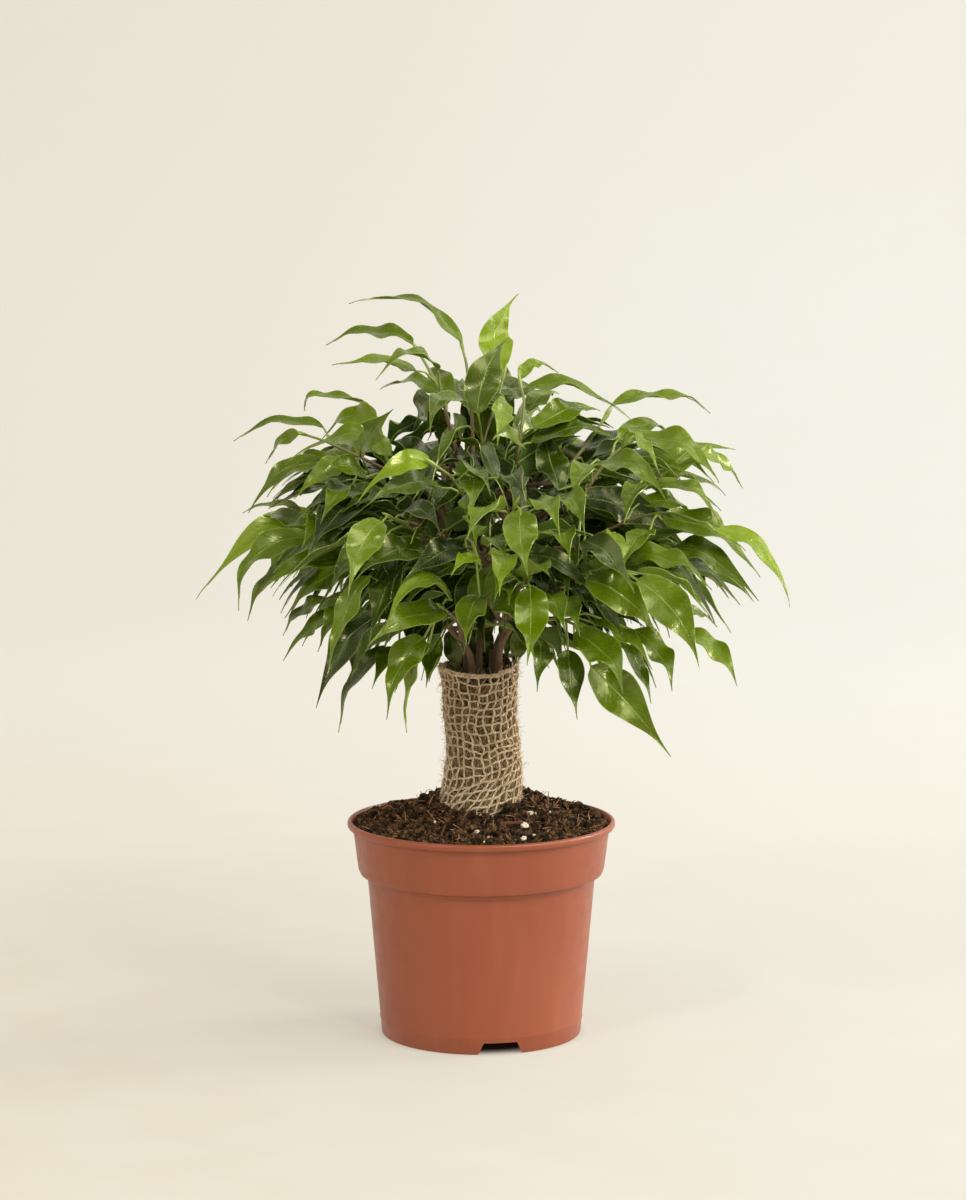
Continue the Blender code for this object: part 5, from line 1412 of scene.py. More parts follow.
def free_leaves(room, twig, name, chance, count, droop):
    """Leaves on alternate sides of a twig, where there is room for them inside the crown."""
    leaves = []
    ahead = (twig[-1] - twig[0]).normalized()
    for k in range(count):
        start = line_point(twig, 0.12 + 0.86 * k / (count - 1))
        side = ahead.cross(UP).normalized() * (1 if k % 2 else -1)
        if k == count - 1:
            side = side * 0.2
        for _ in range(LEAF_TRIES):
            leaf = free_leaf(start, ahead, side, chance, droop)
            leaf = place_leaf(room, leaf, twig, name, ((Vector(), 0.0),), inside_outline)
            if leaf:
                leaves.append(leaf)
                break
    return leaves


# %% Twigs of the far side and of the inside
FAR_LEAVES = 9
INNER_SHOOTS = 9
INNER_TURN = 137.5
INNER_LEAVES = 7
INNER_DROOP = 0.5
CROWN_MIDDLE = Vector((0, 0, 212)) * MM
HIDDEN_TIERS = ((7, 8.0, 4.0, 94.0, 0.75), (5, 20.0, 32.0, 90.0, 0.6), (2, 60.0, 60.0, 70.0, 0.4))


def ray_line(azimuth, rise, start, reach, arch):
    """Twig line that leaves the crown's core in a direction and arches over."""
    azimuth, rise = math.radians(azimuth), math.radians(rise)
    flat = Vector((math.cos(azimuth), math.sin(azimuth), 0))
    away = flat * math.cos(rise) + UP * math.sin(rise)
    points = []
    for share in (0.0, 0.4, 0.75, 1.0):
        out = start + (reach - start) * share
        points.append(CROWN_MIDDLE + away * out * MM + UP * arch * MM * math.sin(math.pi * share))
    return points


def hidden_twigs():
    """Line, leaf count and droop of each shoot of the far side, in tiers, and of the inside."""
    twigs = {}
    for tier, (count, first, rise, reach, droop) in enumerate(HIDDEN_TIERS):
        for k in range(count):
            name = f"far_{tier + 1}_{k + 1}"
            chance = random.Random(name)
            azimuth = first + (180.0 - 2 * first) * k / (count - 1)
            line = ray_line(azimuth, rise + chance.uniform(-5, 5), 36, reach * chance.uniform(0.8, 1.0), 7)
            twigs[name] = line, FAR_LEAVES, droop
    for k in range(INNER_SHOOTS):
        name = f"inner_{k + 1}"
        chance = random.Random(name)
        line = ray_line(INNER_TURN * k, chance.uniform(-12, 50), 24, chance.uniform(48, 66), 3)
        twigs[name] = line, INNER_LEAVES, INNER_DROOP
    return twigs


# %% Lay out the crown: all of the twigs first, then the leaves
SLEEVE_TEST_ENDS = (90 * MM, 168 * MM)
SLEEVE_TEST_RADIUS = 22 * MM
room = Room()
stems = {}
for name, points in STEM_LINES.items():
    stems[name] = smooth_line([Vector(point) * MM for point in points], 2)
    room.add(tube_mesh(stems[name], STEM_RADIUS_FOOT * MM), name)
room.add(tube_mesh([Vector((0, 0, height)) for height in SLEEVE_TEST_ENDS], SLEEVE_TEST_RADIUS), "sleeve")
hidden = hidden_twigs()
lines = {name: [photo_point(*point) for point in rows[0]] for name, rows in SPRAYS.items()}
lines.update({name: line for name, (line, _, _) in hidden.items()})
carried = {name: place_twig(room, stems, line, name, random.Random(name)) for name, line in lines.items()}
shoots = []
for name, (carrier, branch, twig) in carried.items():
    chance = random.Random(name + " leaves")
    if name in hidden:
        leaves = free_leaves(room, twig, name, chance, *hidden[name][1:])
    else:
        leaves = seen_leaves(room, twig, name, chance)
    shoots.append(Shoot(name, carrier, branch, twig, leaves))
print("shoots:", len(shoots), "leaves:", sum(len(shoot.leaves) for shoot in shoots))

# %% [markdown]
# The solids hold only as many leaves as their share of triangles allows. The solids hold fewer
# leaves than the real crown, which is denser, so every spray gets more and slimmer ones here, on
# its twig and on the branch that carries it. They take what room is left inside the crown's
# outline.

# %% The rest of the leaves
MORE_LEAVES = 7
MORE_TRIES = 110
MORE_LENGTH = (36.0, 54.0)
MORE_SLIMNESS = (0.25, 0.33)
MORE_STALK = (6, 12)
MORE_RISE = (-0.2, 0.35)
MORE_SHRUNK = -LEAF_THICKNESS * MM / 4
CORE_HEIGHT = 205.0


def slim_leaf(start, chance):
    """Slim leaf that grows away from the crown's core, with a hanging tip."""
    away = (start - Vector((0, 0, CORE_HEIGHT * MM))).normalized()
    out = (away + jog(chance, 0.75)).normalized()
    out.z = min(max(out.z, MORE_RISE[0]), MORE_RISE[1])
    length = chance.uniform(*MORE_LENGTH) * MM
    base = start + out * chance.uniform(*MORE_STALK) * MM
    sink = chance.uniform(0.15, 0.8)
    tip = base + (out - UP * sink).normalized() * length
    via = (base + tip) / 2 + (UP * 0.7 + out * 0.3) * length * chance.uniform(0.08, 0.2)
    face = (UP + out * 0.5 * sink + jog(chance, 0.95)).normalized()
    return Leaf(start, base, via, tip, face, length * chance.uniform(*MORE_SLIMNESS),
                LEAF_WAVE * chance.uniform(0.8, 1.4), chance.uniform(0, FULL_TURN))


def inside_crown(point):
    """Whether a point is inside the crown's outline and the box of the solids."""
    in_box = all(low < value < high for low, value, high in zip(CAD_BOX[0], point, CAD_BOX[1]))
    return in_box and inside_outline(point)


def all_seen():
    """One search tree of all leaves that the photograph shows."""
    points, faces = [], []
    for shoot in shoots:
        for leaf in shoot.leaves if shoot.name in SEEN else ():
            more_points, more_faces = leaf_mesh(leaf)
            faces += [tuple(len(points) + k for k in face) for face in more_faces]
            points += more_points
    return BVHTree.FromPolygons(points, faces)


def fits(room, leaf, shoot):
    """Whether a leaf hides none of the photograph's and is free of all but its own twig and branch."""
    points, faces = leaf_mesh(leaf, MORE_SHRUNK)
    if not all(inside_crown(point) for point in points) or folds_over(leaf):
        return False
    if any(SEEN_TREE.ray_cast(point, (point - VIEW_PLACE).normalized())[0] for point in points):
        return False
    return room.free(blade_only(leaf, MORE_SHRUNK), (shoot.name + "_twig",))


SEEN_TREE = all_seen()

# %% [markdown]
# A few short leaves hang right in the mouth of the sleeve, on the stems themselves. They join
# the two sprays that are nearest.

# %% Leaves in the mouth of the sleeve
MOUTH_SAG = 2.5
MOUTH_LEAVES = {
    "left_low_front": ((450, 630, 459, 678, 5, 6, 15, 13, 2), (437, 634, 429, 682, -9, -9, 10, 9, 6),
                       (466, 608, 478, 668, -12, -10, 12, 19, 2)),
    "right_low": ((521, 626, 513, 672, -4, -4, 15, 13, 3), (482, 622, 488, 668, -9, -10, 10, 12, 2),
                  (512, 606, 505, 664, -12, -10, 12, 16, 3), (486, 590, 492, 642, -15, -13, 12, 17, 2)),
}


def mouth_leaf(row, chance):
    """Leaf that hangs in the mouth of the sleeve, rooted on the nearest stem."""
    base, tip = [photo_point(*pixel, near) for pixel, near in zip((row.base, row.tip), row.near)]
    via = (base + tip) / 2 + Vector((0, -MOUTH_SAG * MM, 0))
    stem = min(stems.values(), key=lambda line: min((spot - base).length for spot in line))
    root = min(stem, key=lambda spot: (spot - base).length)
    face = seen_face(base, tip, row.turn)
    return Leaf(root, base, via, tip, face, row.width * MM, LEAF_WAVE, chance.uniform(0, FULL_TURN), row.age)


full_shoots = []
for shoot in shoots:
    chance = random.Random(shoot.name + " more leaves")
    line = [*shoot.branch[1:3], *shoot.twig]
    leaves = list(shoot.leaves) + [mouth_leaf(seen(row), chance) for row in MOUTH_LEAVES.get(shoot.name, ())]
    for _ in range(MORE_TRIES):
        leaf = slim_leaf(line_point(line, chance.uniform(0.0, 1.0)), chance)
        if len(leaves) < len(shoot.leaves) + MORE_LEAVES and fits(room, leaf, shoot):
            room.add(leaf_mesh(leaf, MORE_SHRUNK), shoot.name)
            leaves.append(leaf)
    full_shoots.append(shoot._replace(leaves=leaves))
print("leaves in all:", sum(len(shoot.leaves) for shoot in full_shoots))

# %% [markdown]
# ## Leaf finishes
#
# A fig leaf is glossy above and matt below. Young leaves at the tips of the shoots are yellow
# green and old ones inside are deep green. The mid rib and the margin are pale, many fine side
# veins run out from the rib, and the drawn-out tip is often brown. All of that follows the
# blade, so it reads the mark "blade": x runs from base to tip, y from edge to edge. The mark
# "tint" that picks the green also holds painted light and shade: deep green leaves are partly
# painted shade and yellow green ones partly painted light.

# %% Top of the leaf
GREEN_LIGHT = (0.5, 1.0, 0.12)
LIGHT_DEPTH = 0.0012
# Ends of the tint: the yellow green is partly young leaves and partly painted light, the deep green partly
# old leaves and partly painted shade.
YOUNG_AND_LIT = (0.21, 0.3, 0.004)
GROWN = (0.092, 0.142, 0.0005)
OLD_AND_SHADED = (0.01, 0.021, 0.001)
DRY_TIP = (0.16, 0.09, 0.03)
SIDE_VEINS = 21.0
VEIN_SLANT = 3.6
TOP = Finish("leaf_top", 0.4, 0.65, Specular_Tint=(1.0, 1.0, 0.5, 1.0),
             Subsurface_Weight=0.1, Subsurface_Radius=GREEN_LIGHT, Subsurface_Scale=LIGHT_DEPTH)


def leaf_places(finish):
    """Place along the blade, place from rib to edge, and a wave that follows the side veins."""
    blade = finish.mark("blade", "Vector")
    along, across, _ = wire(finish.tree, "ShaderNodeSeparateXYZ", blade).outputs
    out = finish.maths("ABSOLUTE", across)
    slant = finish.maths("MULTIPLY", out, -VEIN_SLANT)
    phase = finish.maths("MULTIPLY_ADD", along, SIDE_VEINS, slant)
    wave = finish.maths("PINGPONG", phase, 0.5)
    return along, out, finish.between(wave, 0.0, 0.16, 1.0, 0.0)


along, out, veins = leaf_places(TOP)
spot = TOP.on_object()
# The tint mark, with slow noise: how old a leaf is and painted light and shade together.
age = TOP.maths("MULTIPLY_ADD", TOP.cloud(spot, 14.0, 2.0), 0.35, TOP.mark("tint"))
tone = TOP.patches(OLD_AND_SHADED, GROWN, age, 0.2, 0.7)
tone = TOP.patches(tone, YOUNG_AND_LIT, age, 0.7, 1.25)
tone = TOP.patches(tone, OLD_AND_SHADED, TOP.cloud(spot, 1.1, 3.0), 0.4, 0.7, 0.18)
tone = TOP.blend(TOP.maths("MULTIPLY", veins, 0.08), tone, YOUNG_AND_LIT)
tone = TOP.blend(TOP.between(out, 0.02, 0.06, 0.5, 0.0), tone, (0.2, 0.32, 0.05))
tone = TOP.patches(tone, (0.3, 0.4, 0.06), out, 0.93, 0.99, 0.45)
TOP.feed(TOP.patches(tone, DRY_TIP, along, 0.955, 0.99, 0.8))
TOP.feed(TOP.between(TOP.cloud(spot, 3.0, 3.0), 0.3, 0.7, 0.2, 0.32), "Roughness")
rib = TOP.between(out, 0.0, 0.07, 1.0, 0.0)
sunk = TOP.maths("MULTIPLY_ADD", rib, -1.4, TOP.maths("MULTIPLY", veins, -0.18))
TOP.relief(TOP.maths("MULTIPLY_ADD", TOP.cloud(spot, 1.6, 3.0), 0.5, sunk), 0.1)

# %% Underside, stalks and twigs
UNDER = Finish("leaf_underside", 0.55, 0.2, Specular_Tint=(1.0, 1.0, 0.55, 1.0),
               Subsurface_Weight=0.3, Subsurface_Radius=GREEN_LIGHT, Subsurface_Scale=LIGHT_DEPTH)
along, out, veins = leaf_places(UNDER)
# The underside takes the same tint, so its green is partly painted light and shade as well.
age = UNDER.maths("MULTIPLY_ADD", UNDER.cloud(UNDER.on_object(), 14.0, 2.0), 0.3, UNDER.mark("tint"))
tone = UNDER.patches((0.075, 0.125, 0.02), (0.3, 0.38, 0.04), age, 0.2, 1.1)
tone = UNDER.blend(UNDER.maths("MULTIPLY", veins, 0.2), tone, (0.3, 0.36, 0.1))
tone = UNDER.blend(UNDER.between(out, 0.03, 0.1, 0.8, 0.0), tone, (0.38, 0.44, 0.16))
UNDER.feed(UNDER.patches(tone, DRY_TIP, along, 0.955, 0.99, 0.8))
UNDER.relief(veins, 0.08)

STALK = Finish("leaf_stalk", 0.5)
grain = STALK.cloud(STALK.on_object(), 0.8, 4.0)
ripe = STALK.maths("MULTIPLY_ADD", grain, 0.3, STALK.mark("ripe"))
tone = STALK.patches((0.3, 0.38, 0.06), (0.17, 0.2, 0.04), ripe, 0.1, 0.6)
STALK.feed(STALK.patches(tone, (0.16, 0.085, 0.04), ripe, 0.6, 1.1))
STALK.relief(grain, 0.1)

# %% [markdown]
# ## One tree for every spray
#
# A spray is a twig, its leaves and their stalks. Every leaf is one point that carries its base,
# tip, face and width as marks. The node tree puts a flat grid on each point and bends it along
# the mid rib, an arc through three places. It widens the grid by the fig's own outline, folds it
# up from the rib, and lets its edges wave. The second half of the tree gives every line a round
# section.

# %% The blade in nodes
BLADE_STEPS = 23
BLADE_ROWS = 7
BLADE_THICKNESS = 0.32
BLADE_RUFFLE = 0.13
BLADE_RUFFLES = 2.9
BLADE_SWAY = 0.022
BLADE_SWAYS = 1.7
DRIP_TIP = 0.05
TWIST_START = 0.35
BLADE_WELD = 0.000002
STALK_WELD = 0.000005


def lerp(tree, share, first, second):
    """Place between two places."""
    return wire(tree, "ShaderNodeMix", share, first, second, data_type="VECTOR")


def blade_grid(tree, points):
    """A flat grid on each leaf point, with its own place along and across kept as a mark."""
    sheet = wire(tree, "GeometryNodeMeshGrid", 1.0, 2.0, BLADE_STEPS, BLADE_ROWS)
    flat = vectors(tree, "ADD", wire(tree, "GeometryNodeInputPosition"), (0.5, 0.0, 0.0))
    sheet = stored(tree, sheet, "blade", flat, "FLOAT_VECTOR")
    copies = wire(tree, "GeometryNodeInstanceOnPoints", points, None, sheet)
    return wire(tree, "GeometryNodeRealizeInstances", copies)


def blade_rib(tree, u):
    """Place on the mid rib, which arcs, hangs at its tip and sways, with the blade's side and upper face."""
    base, via, tip = [named(tree, label, "FLOAT_VECTOR") for label in ("base", "via", "tip")]
    middle = vectors(tree, "MULTIPLY", vectors(tree, "ADD", base, tip), (-0.5, -0.5, -0.5))
    control = vectors(tree, "MULTIPLY_ADD", via, (2.0, 2.0, 2.0), middle)
    first = lerp(tree, u, base, control)
    second = lerp(tree, u, control, tip)
    rib = lerp(tree, u, first, second)
    span = vectors(tree, "SUBTRACT", tip, base)
    flat_span = vectors(tree, "LENGTH", vectors(tree, "MULTIPLY", span, (1.0, 1.0, 0.0))).outputs["Value"]
    hang = times(tree, between(tree, u, 0.7, 1.15, 0.0, -DRIP_TIP), flat_span)
    rib = vectors(tree, "ADD", rib, wire(tree, "ShaderNodeCombineXYZ", 0.0, 0.0, hang))
    ahead = vectors(tree, "NORMALIZE", vectors(tree, "SUBTRACT", second, first))
    face = named(tree, "face", "FLOAT_VECTOR")
    side = vectors(tree, "NORMALIZE", vectors(tree, "CROSS_PRODUCT", ahead, face))
    turn = times(tree, maths(tree, "SUBTRACT", u, TWIST_START), named(tree, "twist"))
    side = wire(tree, "ShaderNodeVectorRotate", side, None, ahead, turn, rotation_type="AXIS_ANGLE")
    up = vectors(tree, "CROSS_PRODUCT", side, ahead)
    phase = maths(tree, "MULTIPLY_ADD", u, 2 * math.pi * BLADE_SWAYS, named(tree, "phase"))
    sway = maths(tree, "SINE", phase)
    sway = times(tree, sway, maths(tree, "SINE", times(tree, u, math.pi)))
    most = times(tree, BLADE_SWAY, vectors(tree, "LENGTH", span).outputs["Value"])
    sway = times(tree, sway, most)
    return vectors(tree, "ADD", rib, vectors(tree, "SCALE", up, sway)), side, up


def blade_half(tree, u):
    """Half width of the blade: round at its base, and drawn out to a long tip."""
    bell = maths(tree, "SINE", times(tree, maths(tree, "POWER", u, 0.7), math.pi))
    bell = maths(tree, "POWER", maths(tree, "MAXIMUM", bell, 0.0), 0.8)
    slim = between(tree, u, 0.42, 0.98, 1.0, 0.12)
    half = times(tree, times(tree, bell, slim), named(tree, "width"))
    return maths(tree, "MULTIPLY_ADD", half, 0.5, maths(tree, "MULTIPLY_ADD", u, -0.25 * MM, 0.37 * MM))


def blade_lift(tree, u, v):
    """How far the blade rises from its rib to its edge, in half widths: folded, waved and ruffled."""
    out = maths(tree, "ABSOLUTE", v)
    fold = times(tree, maths(tree, "POWER", out, 1.25), LEAF_FOLD)
    phase = maths(tree, "MULTIPLY_ADD", u, 2 * math.pi * LEAF_WAVES, named(tree, "phase"))
    swing = times(tree, maths(tree, "SINE", phase), named(tree, "wave"))
    swing = times(tree, swing, times(tree, v, -1.0))
    shift = times(tree, named(tree, "phase"), 3.0)
    quick = maths(tree, "MULTIPLY_ADD", u, BLADE_RUFFLES * 2 * math.pi, shift)
    quick = maths(tree, "MULTIPLY_ADD", v, 1.1, quick)
    ruffle = times(tree, maths(tree, "SINE", quick), times(tree, out, out))
    return maths(tree, "MULTIPLY_ADD", ruffle, BLADE_RUFFLE, maths(tree, "ADD", fold, swing))


def blades(tree, points):
    """Closed, bent and waved blades on the leaf points, with an upper and a lower skin."""
    copies = blade_grid(tree, points)
    u, v, _ = wire(tree, "ShaderNodeSeparateXYZ", named(tree, "blade", "FLOAT_VECTOR")).outputs
    rib, side, up = blade_rib(tree, u)
    half = blade_half(tree, u)
    across = vectors(tree, "SCALE", side, times(tree, v, half))
    above = vectors(tree, "SCALE", up, times(tree, blade_lift(tree, u, v), half))
    spot = vectors(tree, "ADD", rib, vectors(tree, "ADD", across, above))
    sheet = wire(tree, "GeometryNodeSetPosition", copies, None, spot)
    upper = wire(tree, "GeometryNodeFlipFaces", sheet)
    upper = wire(tree, "GeometryNodeExtrudeMesh", upper, None, None, BLADE_THICKNESS * MM, False)
    lower = stored(tree, sheet, "kind", 1, "INT", "FACE")
    both = joined(tree, upper.outputs["Mesh"], lower.outputs[0])
    return wire(tree, "GeometryNodeMergeByDistance", both, None, BLADE_WELD)


def stalks(tree, lines, sides):
    """Round stalks along the lines, with a mark that gives them their own finish."""
    ring = wire(tree, "GeometryNodeCurvePrimitiveCircle", sides, 1.0)
    tubes = round_section(tree, wire(tree, "GeometryNodeMeshToCurve", lines), ring, STALK_WELD)
    return stored(tree, tubes, "kind", 2, "INT", "FACE")


def spray_tree():
    """Blades on the leaf points and stalks along the lines of one mesh."""
    tree, start = new_tree("spray", [("Stalk sides", "Int", 6)])
    chosen = wire(tree, "FunctionNodeCompare", named(tree, "leaf"), 0.5, operation="GREATER_THAN")
    parts = wire(tree, "GeometryNodeSeparateGeometry", start["Geometry"], chosen)
    leaves = blades(tree, parts.outputs["Selection"])
    wood = stalks(tree, parts.outputs["Inverted"], start["Stalk sides"])
    spray = joined(tree, leaves.outputs[0], wood.outputs[0])
    finish_tree(tree, wire(tree, "GeometryNodeSetShadeSmooth", spray), TOP, UNDER, STALK)
    return tree


SPRAY = spray_tree()
print("spray tree:", len(SPRAY.nodes), "nodes")

# %% [markdown]
# The script gives the tree its points and lines. A stalk runs from the twig to the blade and on
# under the mid rib, where it is the raised rib of the underside. Twigs taper, turn from brown to
# green, and end in a pointed bud.


# %% Points and lines of a spray
RIB_STEPS = 8
RIB_END = 0.92
TINT_LOW = 200.0
TINT_HIGH = 330.0
MOST_TWIST = 1.1
MOST_WIDTH = 0.36
BOX_MARGIN = 1.5 * MM
BUD = ((-0.5, 0.6), (1.0, 0.85), (2.6, 0.95), (4.4, 0.7), (6.2, 0.35), (7.2, 0.08))
STALK_RADII = (0.62, 0.5, 0.46, 0.47)
MARKS = ("leaf", "thick", "ripe", "tint", "width", "wave", "phase", "twist", "base", "via", "tip", "face")


def taper(count, foot, top):
    """Radii along a line of so many points, in metres."""
    return [(foot + (top - foot) * k / (count - 1)) * MM for k in range(count)]


def fine_width(leaf):
    """Width of the fine blade: less where the photograph shows a curled leaf from its edge."""
    if leaf.age is None:
        return leaf.width * 0.95
    facing = abs(leaf.face.normalized().dot((VIEW_PLACE - leaf.base).normalized()))
    widest = MOST_WIDTH * (leaf.tip - leaf.base).length
    return min(leaf.width * (0.6 + 0.22 * smoothstep(0.3, 0.85, facing)), widest)


def stalk_line(leaf, twist):
    """Stalk of a leaf and the rib under its blade: places and radii."""
    bow = (leaf.root + leaf.base) / 2 + UP * (leaf.base - leaf.root).length * 0.12
    line = [leaf.root, leaf.root.lerp(bow, 0.7).lerp(bow, 0.3), bow, bow.lerp(leaf.base, 0.6)]
    radii = list(STALK_RADII)
    for step in range(RIB_STEPS + 1):
        u = RIB_END * step / RIB_STEPS
        flat_span = math.hypot(leaf.tip.x - leaf.base.x, leaf.tip.y - leaf.base.y)
        hang = UP * DRIP_TIP * smoothstep(0.7, 1.15, u) * flat_span
        ahead, _, face = leaf_frame(leaf, u)
        face = Matrix.Rotation((u - TWIST_START) * twist, 3, ahead) @ face
        sway = BLADE_SWAY * (leaf.tip - leaf.base).length * math.sin(math.pi * u)
        sway *= math.sin(2 * math.pi * BLADE_SWAYS * u + leaf.phase)
        line.append(midrib(leaf, u) - hang + face * (sway - (0.1 + 0.12 * u) * MM))
        radii.append(0.5 - 0.42 * u)
    return line, [radius * MM for radius in radii]


def bud_line(twig):
    """Pointed bud at the end of a twig: a slim spindle."""
    ahead = (twig[-1] - twig[-2]).normalized()
    places = [twig[-1] + ahead * step * MM for step, _ in BUD]
    return places, [radius * MM for _, radius in BUD]


def leaf_tint(leaf, shoot, reach, chance):
    """Tint of a leaf, from old at 0 to young at 1, with painted shade at the low end and painted light at
    the high end: as read off the photograph, or by its place.
    """
    # out paints light on the outer leaves and shade on the inner ones, besides how old they are. Higher
    # leaves come out lighter, and far makes the tips of a shoot younger.
    height = smoothstep(TINT_LOW, TINT_HIGH, leaf.tip.z / MM + chance.uniform(-30, 30))
    out = smoothstep(50, 125, (leaf.via - Vector((0, 0, CORE_HEIGHT * MM))).length / MM)
    far = (leaf.tip - shoot.twig[0]).length / reach
    tint = -0.12 + 0.1 * height + 0.4 * out + 0.15 * far ** 2 + chance.uniform(-0.2, 0.22)
    return tint if leaf.age is None else leaf.age * 0.122 - 0.1


def spray_mesh(shoot):
    """Leaf points and stalk lines of one shoot, with their marks."""
    chance = random.Random(shoot.name + " tints")
    twig = smooth_line(shoot.twig, 6)
    radii = taper(len(twig), TWIG_RADIUS_FOOT * 0.75, TWIG_RADIUS_TOP * 0.8)
    lines = [(twig, radii, 1.0, 0.2), (*bud_line(twig), 0.1, 0.0)]
    reach = max((leaf.tip - shoot.twig[0]).length for leaf in shoot.leaves)
    points, rows = [], []
    for leaf in shoot.leaves:
        tint = leaf_tint(leaf, shoot, reach, chance)
        twist = chance.uniform(-MOST_TWIST, MOST_TWIST)
        points.append(leaf.base)
        rows.append((1.0, 0.0, 0.0, tint, fine_width(leaf), leaf.wave, leaf.phase, twist,
                     leaf.base, leaf.via, leaf.tip, leaf.face))
        lines.append((*stalk_line(leaf, twist), 0.15, 0.0))
    for line, radii, foot, top in lines:
        for k, (spot, radius) in enumerate(zip(line, radii)):
            points.append(spot)
            ripe = foot + (top - foot) * k / (len(line) - 1)
            rows.append((0.0, radius, ripe, 0.0, 0.0, 0.0, 0.0, 0.0, *[Vector()] * 4))
    first = len(shoot.leaves)
    edges = [(first + a, first + b) for a, b in chains([line for line, *_ in lines])]
    return marked_mesh("spray", points, edges, dict(zip(MARKS, zip(*rows))))


def keep_in_box(piece):
    """Press the outermost tips softly back into the box of the solids."""
    for point in piece.data.vertices:
        for axis in range(3):
            for side, limit in zip((-1, 1), CAD_BOX):
                over = side * (point.co[axis] - limit[axis]) + BOX_MARGIN
                if over > 0:
                    point.co[axis] = limit[axis] - side * BOX_MARGIN * math.exp(-over / BOX_MARGIN)


for shoot in full_shoots:
    spray = grown("spray_" + shoot.name, spray_mesh(shoot), SPRAY, Stalk_sides=6)
    keep_in_box(spray)
    spray.data.set_sharp_from_angle(angle=math.radians(50))
    place(spray, "fig_leaf", "shoot_" + shoot.name)

# %% [markdown]
# ## The wood
#
# Young bark is smooth, with fine lengthwise cracks and small raised pores. Each stem is one tube
# along a smooth curve with its branches set into it and a knot where each branch leaves.

# %% Fig bark
BARK = Finish("fig_bark", 0.75, 0.3)
cracks = BARK.cloud(BARK.on_object((1.0, 1.0, 4.5)), 0.6, 5.0, 0.65)
pores = BARK.between(BARK.cloud(BARK.on_object((1.3, 1.3, 0.7)), 0.7, 1.0), 0.66, 0.74)
tone = BARK.blend(cracks, (0.075, 0.043, 0.025), (0.34, 0.215, 0.125))
tone = BARK.patches(tone, (0.22, 0.15, 0.08), BARK.cloud(BARK.on_object(), 9.0, 2.0), 0.4, 0.7, 0.5)
BARK.feed(BARK.blend(BARK.maths("MULTIPLY", pores, 0.6), tone, (0.38, 0.28, 0.18)))
BARK.relief(BARK.maths("MULTIPLY_ADD", pores, 0.5, cracks), 0.35)

# %% Stems with their branches
BARK_TUBES = tube_tree("bark", BARK, 10)
KNOT = (1.35, 1.12)


def knotted(line, foot, top, seed):
    """Radii along a line with slight swellings, in metres."""
    radii = taper(len(line), foot, top)
    return [radius * (1 + 0.13 * noise.noise(Vector((seed, k * 0.55, 0)))) for k, radius in enumerate(radii)]


for number, (name, points) in enumerate(STEM_LINES.items()):
    line = smooth_line([Vector(point) * MM for point in points], 8)
    lines = [line]
    radii = knotted(line, STEM_RADIUS_FOOT * 0.8, STEM_RADIUS_TOP * 0.75, number)
    for shoot in shoots:
        if shoot.stem == name:
            arm = smooth_line([*shoot.branch, shoot.twig[0].lerp(shoot.twig[1], 0.04)], 5)
            lines.append(arm)
            widths = knotted(arm, BRANCH_RADIUS * 0.8, TWIG_RADIUS_FOOT * 0.75, len(lines))
            radii += [width * (KNOT[k] if k < len(KNOT) else 1) for k, width in enumerate(widths)]
    spots = [spot for one in lines for spot in one]
    cores = marked_mesh(name, spots, chains(lines), {"thick": radii})
    wood = grown(name.replace("stem", "wood"), cores, BARK_TUBES)
    wood.data.set_sharp_from_angle(angle=math.radians(60))
    place(wood, "fig_bark", name)

# %% [markdown]
# The photograph shows a handful of white grains on the soil. They are set down along their lines
# of sight, one pixel and one size in millimetres for each.

# %% White grains on the soil
GRAINS_PX = ((525, 826, 1.7), (477, 832, 0.9), (488, 837, 0.5), (484, 842, 0.4), (534, 835, 0.55),
             (506, 847, 0.7), (435, 822, 0.6), (550, 812, 0.5))
skin_points = [point.co for piece in (soil, crumbs) for point in piece.data.vertices]
skin_faces = [list(face.vertices) for face in soil.data.polygons]
first = len(soil.data.vertices)
skin_faces += [[first + k for k in face.vertices] for face in crumbs.data.polygons]
skin = BVHTree.FromPolygons(skin_points, skin_faces)
grains = bmesh.new()
for number, (px, py, size) in enumerate(GRAINS_PX):
    sight = (photo_point(px, py, 0) - VIEW_PLACE).normalized()
    spot = skin.ray_cast(VIEW_PLACE, sight)[0]
    grain = bmesh.new()
    bmesh.ops.create_icosphere(grain, subdivisions=3, radius=size * MM)
    roughened(grain, size, 0.6 * size, number)
    bmesh.ops.translate(grain, verts=grain.verts, vec=spot - sight * 0.5 * size * MM)
    grains.from_mesh(mesh_of(grain, "grain"))
bits = link("perlite_bits", mesh_of(grains, "perlite_bits"))
coated(bits, PERLITE, 50)
place(bits, "perlite")

# %% [markdown]
# ## Floor and light
#
# The photograph was taken on warm white paper that curves up behind the plant, under soft studio
# light from the front right. The paper is a swept sheet and isn't part of the plant. Its tone drifts
# from left to right and from front to back, as painted light and shade. A weak glow, painted light,
# stands for the light that the studio's walls throw back, and it ends at the pot, which keeps its
# shadow.

# %% Paper
PAPER = Finish("paper", 0.9, 0.2)
spot = PAPER.on_object()
sideways, depth, height = wire(PAPER.tree, "ShaderNodeSeparateXYZ", spot).outputs
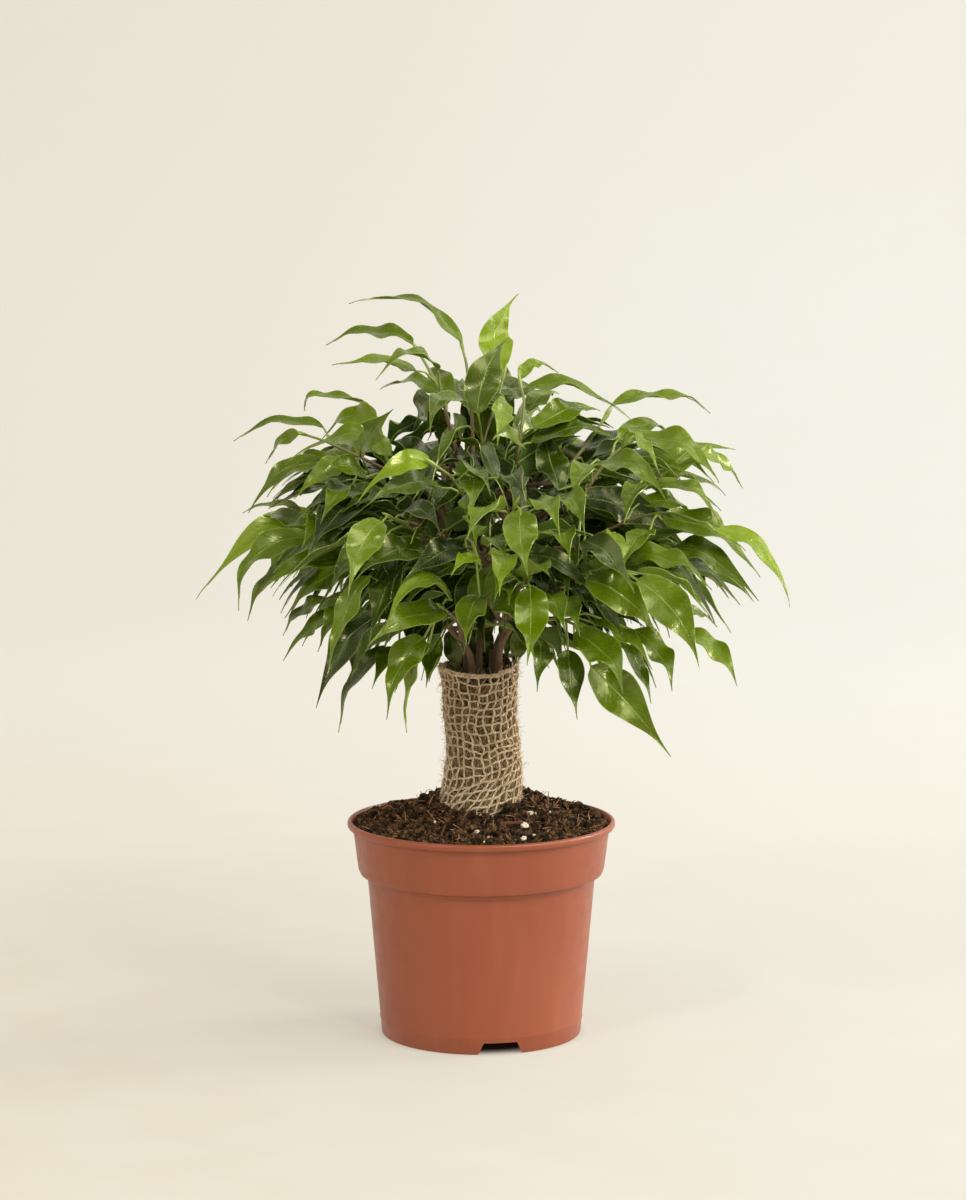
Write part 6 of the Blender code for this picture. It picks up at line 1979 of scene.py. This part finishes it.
# Painted light and shade: the paper is lighter to the right, where the lamps stand, and towards the back,
# and darker higher up the wall.
far = PAPER.between(depth, -150.0, 1200.0)
right = PAPER.blend(far, (0.675, 0.645, 0.565), (0.74, 0.728, 0.665))
left = PAPER.blend(far, (0.655, 0.59, 0.478), (0.74, 0.705, 0.622))
tone = PAPER.patches(left, right, sideways, -260.0, 260.0)
tone = PAPER.patches(tone, (0.69, 0.65, 0.57), height, 100.0, 550.0, 0.4)
tone = PAPER.patches(tone, (0.72, 0.7, 0.62), PAPER.cloud(spot, 60.0, 2.0), 0.3, 0.7, 0.2)
flat = vectors(PAPER.tree, "MULTIPLY", spot, (1.0, 1.0, 0.0))
from_pot = vectors(PAPER.tree, "LENGTH", flat).outputs["Value"]
# The glow is painted light for what the studio's walls throw back. It fades out between 49 and 34 mm from
# the axis, which leaves the floor under the pot in shadow and paints a soft shadow round its foot.
PAPER.feed(PAPER.between(from_pot, 34.0, 49.0, 0.0, 0.68), "Emission Strength")
PAPER.feed(PAPER.blend(0.6, tone, (0.0, 0.0, 0.0)))
PAPER.feed(tone, "Emission Color")

PAPER_HALF_WIDTH = 14.0
PAPER_FRONT = -16.0
PAPER_BEND = 1.4
PAPER_BEND_STEPS = 24
PAPER_BACK = 2.6
PAPER_HEIGHT = 3.5
sweep = [(PAPER_FRONT, 0.0)]
for k in range(PAPER_BEND_STEPS + 1):
    angle = math.pi / 2 * k / PAPER_BEND_STEPS
    sweep.append((PAPER_BEND + (PAPER_BACK - PAPER_BEND) * math.sin(angle),
                  (PAPER_BACK - PAPER_BEND) * (1 - math.cos(angle))))
sweep.append((PAPER_BACK, PAPER_HEIGHT))
corners = [(side * PAPER_HALF_WIDTH, y, z) for y, z in sweep for side in (-1, 1)]
faces = [(2 * k, 2 * k + 1, 2 * k + 3, 2 * k + 2) for k in range(len(sweep) - 1)]
mesh = bpy.data.meshes.new("paper")
mesh.from_pydata(corners, [], faces)
paper = link("paper", mesh)
paper.data.shade_smooth()
paper.data.materials.append(PAPER.material)
print("paper:", len(faces), "faces")

# %% [markdown]
# The key light and a low side light stand at the right, and a weak fill opens the shadows at
# the left. Two small lamps put bright streaks on the glossy leaves, which large ones can't do.
# One more lamp, behind the plant, lights the paper.


# %% Lights
WARM = (1.0, 0.985, 0.95)
SKY_STRENGTH = 0.34


def lamp(name, place, aim, size, watts, colour):
    """Square soft light that looks at a point. Places and sizes are in metres."""
    light = bpy.data.lights.new(name, "AREA")
    light.size = size
    light.energy = watts
    light.color = colour
    item = link(name, light)
    item.location = place
    item.rotation_euler = (Vector(place) - Vector(aim)).to_track_quat("Z", "Y").to_euler()


lamp("key", (1.6, -1.1, 1.5), (0, 0, 0.2), 1.4, 34.0, WARM)
lamp("side light", (2.1, 0.5, 0.85), (0, 0, 0.1), 0.8, 34.0, (1.0, 0.98, 0.94))
lamp("top light", (0.1, -0.3, 2.2), (0, 0, 0.2), 1.1, 6.0, WARM)
lamp("fill", (-1.9, -1.2, 1.0), (0, 0, 0.15), 1.4, 7.0, WARM)
lamp("left sparkle", (-0.9, -1.3, 1.3), (0, 0, 0.25), 0.2, 9.0, (1.0, 0.99, 0.97))
lamp("right sparkle", (0.6, -1.4, 1.5), (0, 0, 0.25), 0.2, 9.0, (1.0, 0.99, 0.97))
lamp("paper light", (1.4, 0.9, 2.0), (0.8, 2.5, 0.8), 1.6, 26.0, (1.0, 1.0, 0.98))
sky = bpy.data.worlds.new("studio")
sky.use_nodes = True
background = sky.node_tree.nodes["Background"]
background.inputs["Color"].default_value = (*WARM, 1)
background.inputs["Strength"].default_value = SKY_STRENGTH
bpy.context.scene.world = sky
bpy.context.scene.view_settings.view_transform = "Standard"
print("lights:", len(bpy.data.lights))
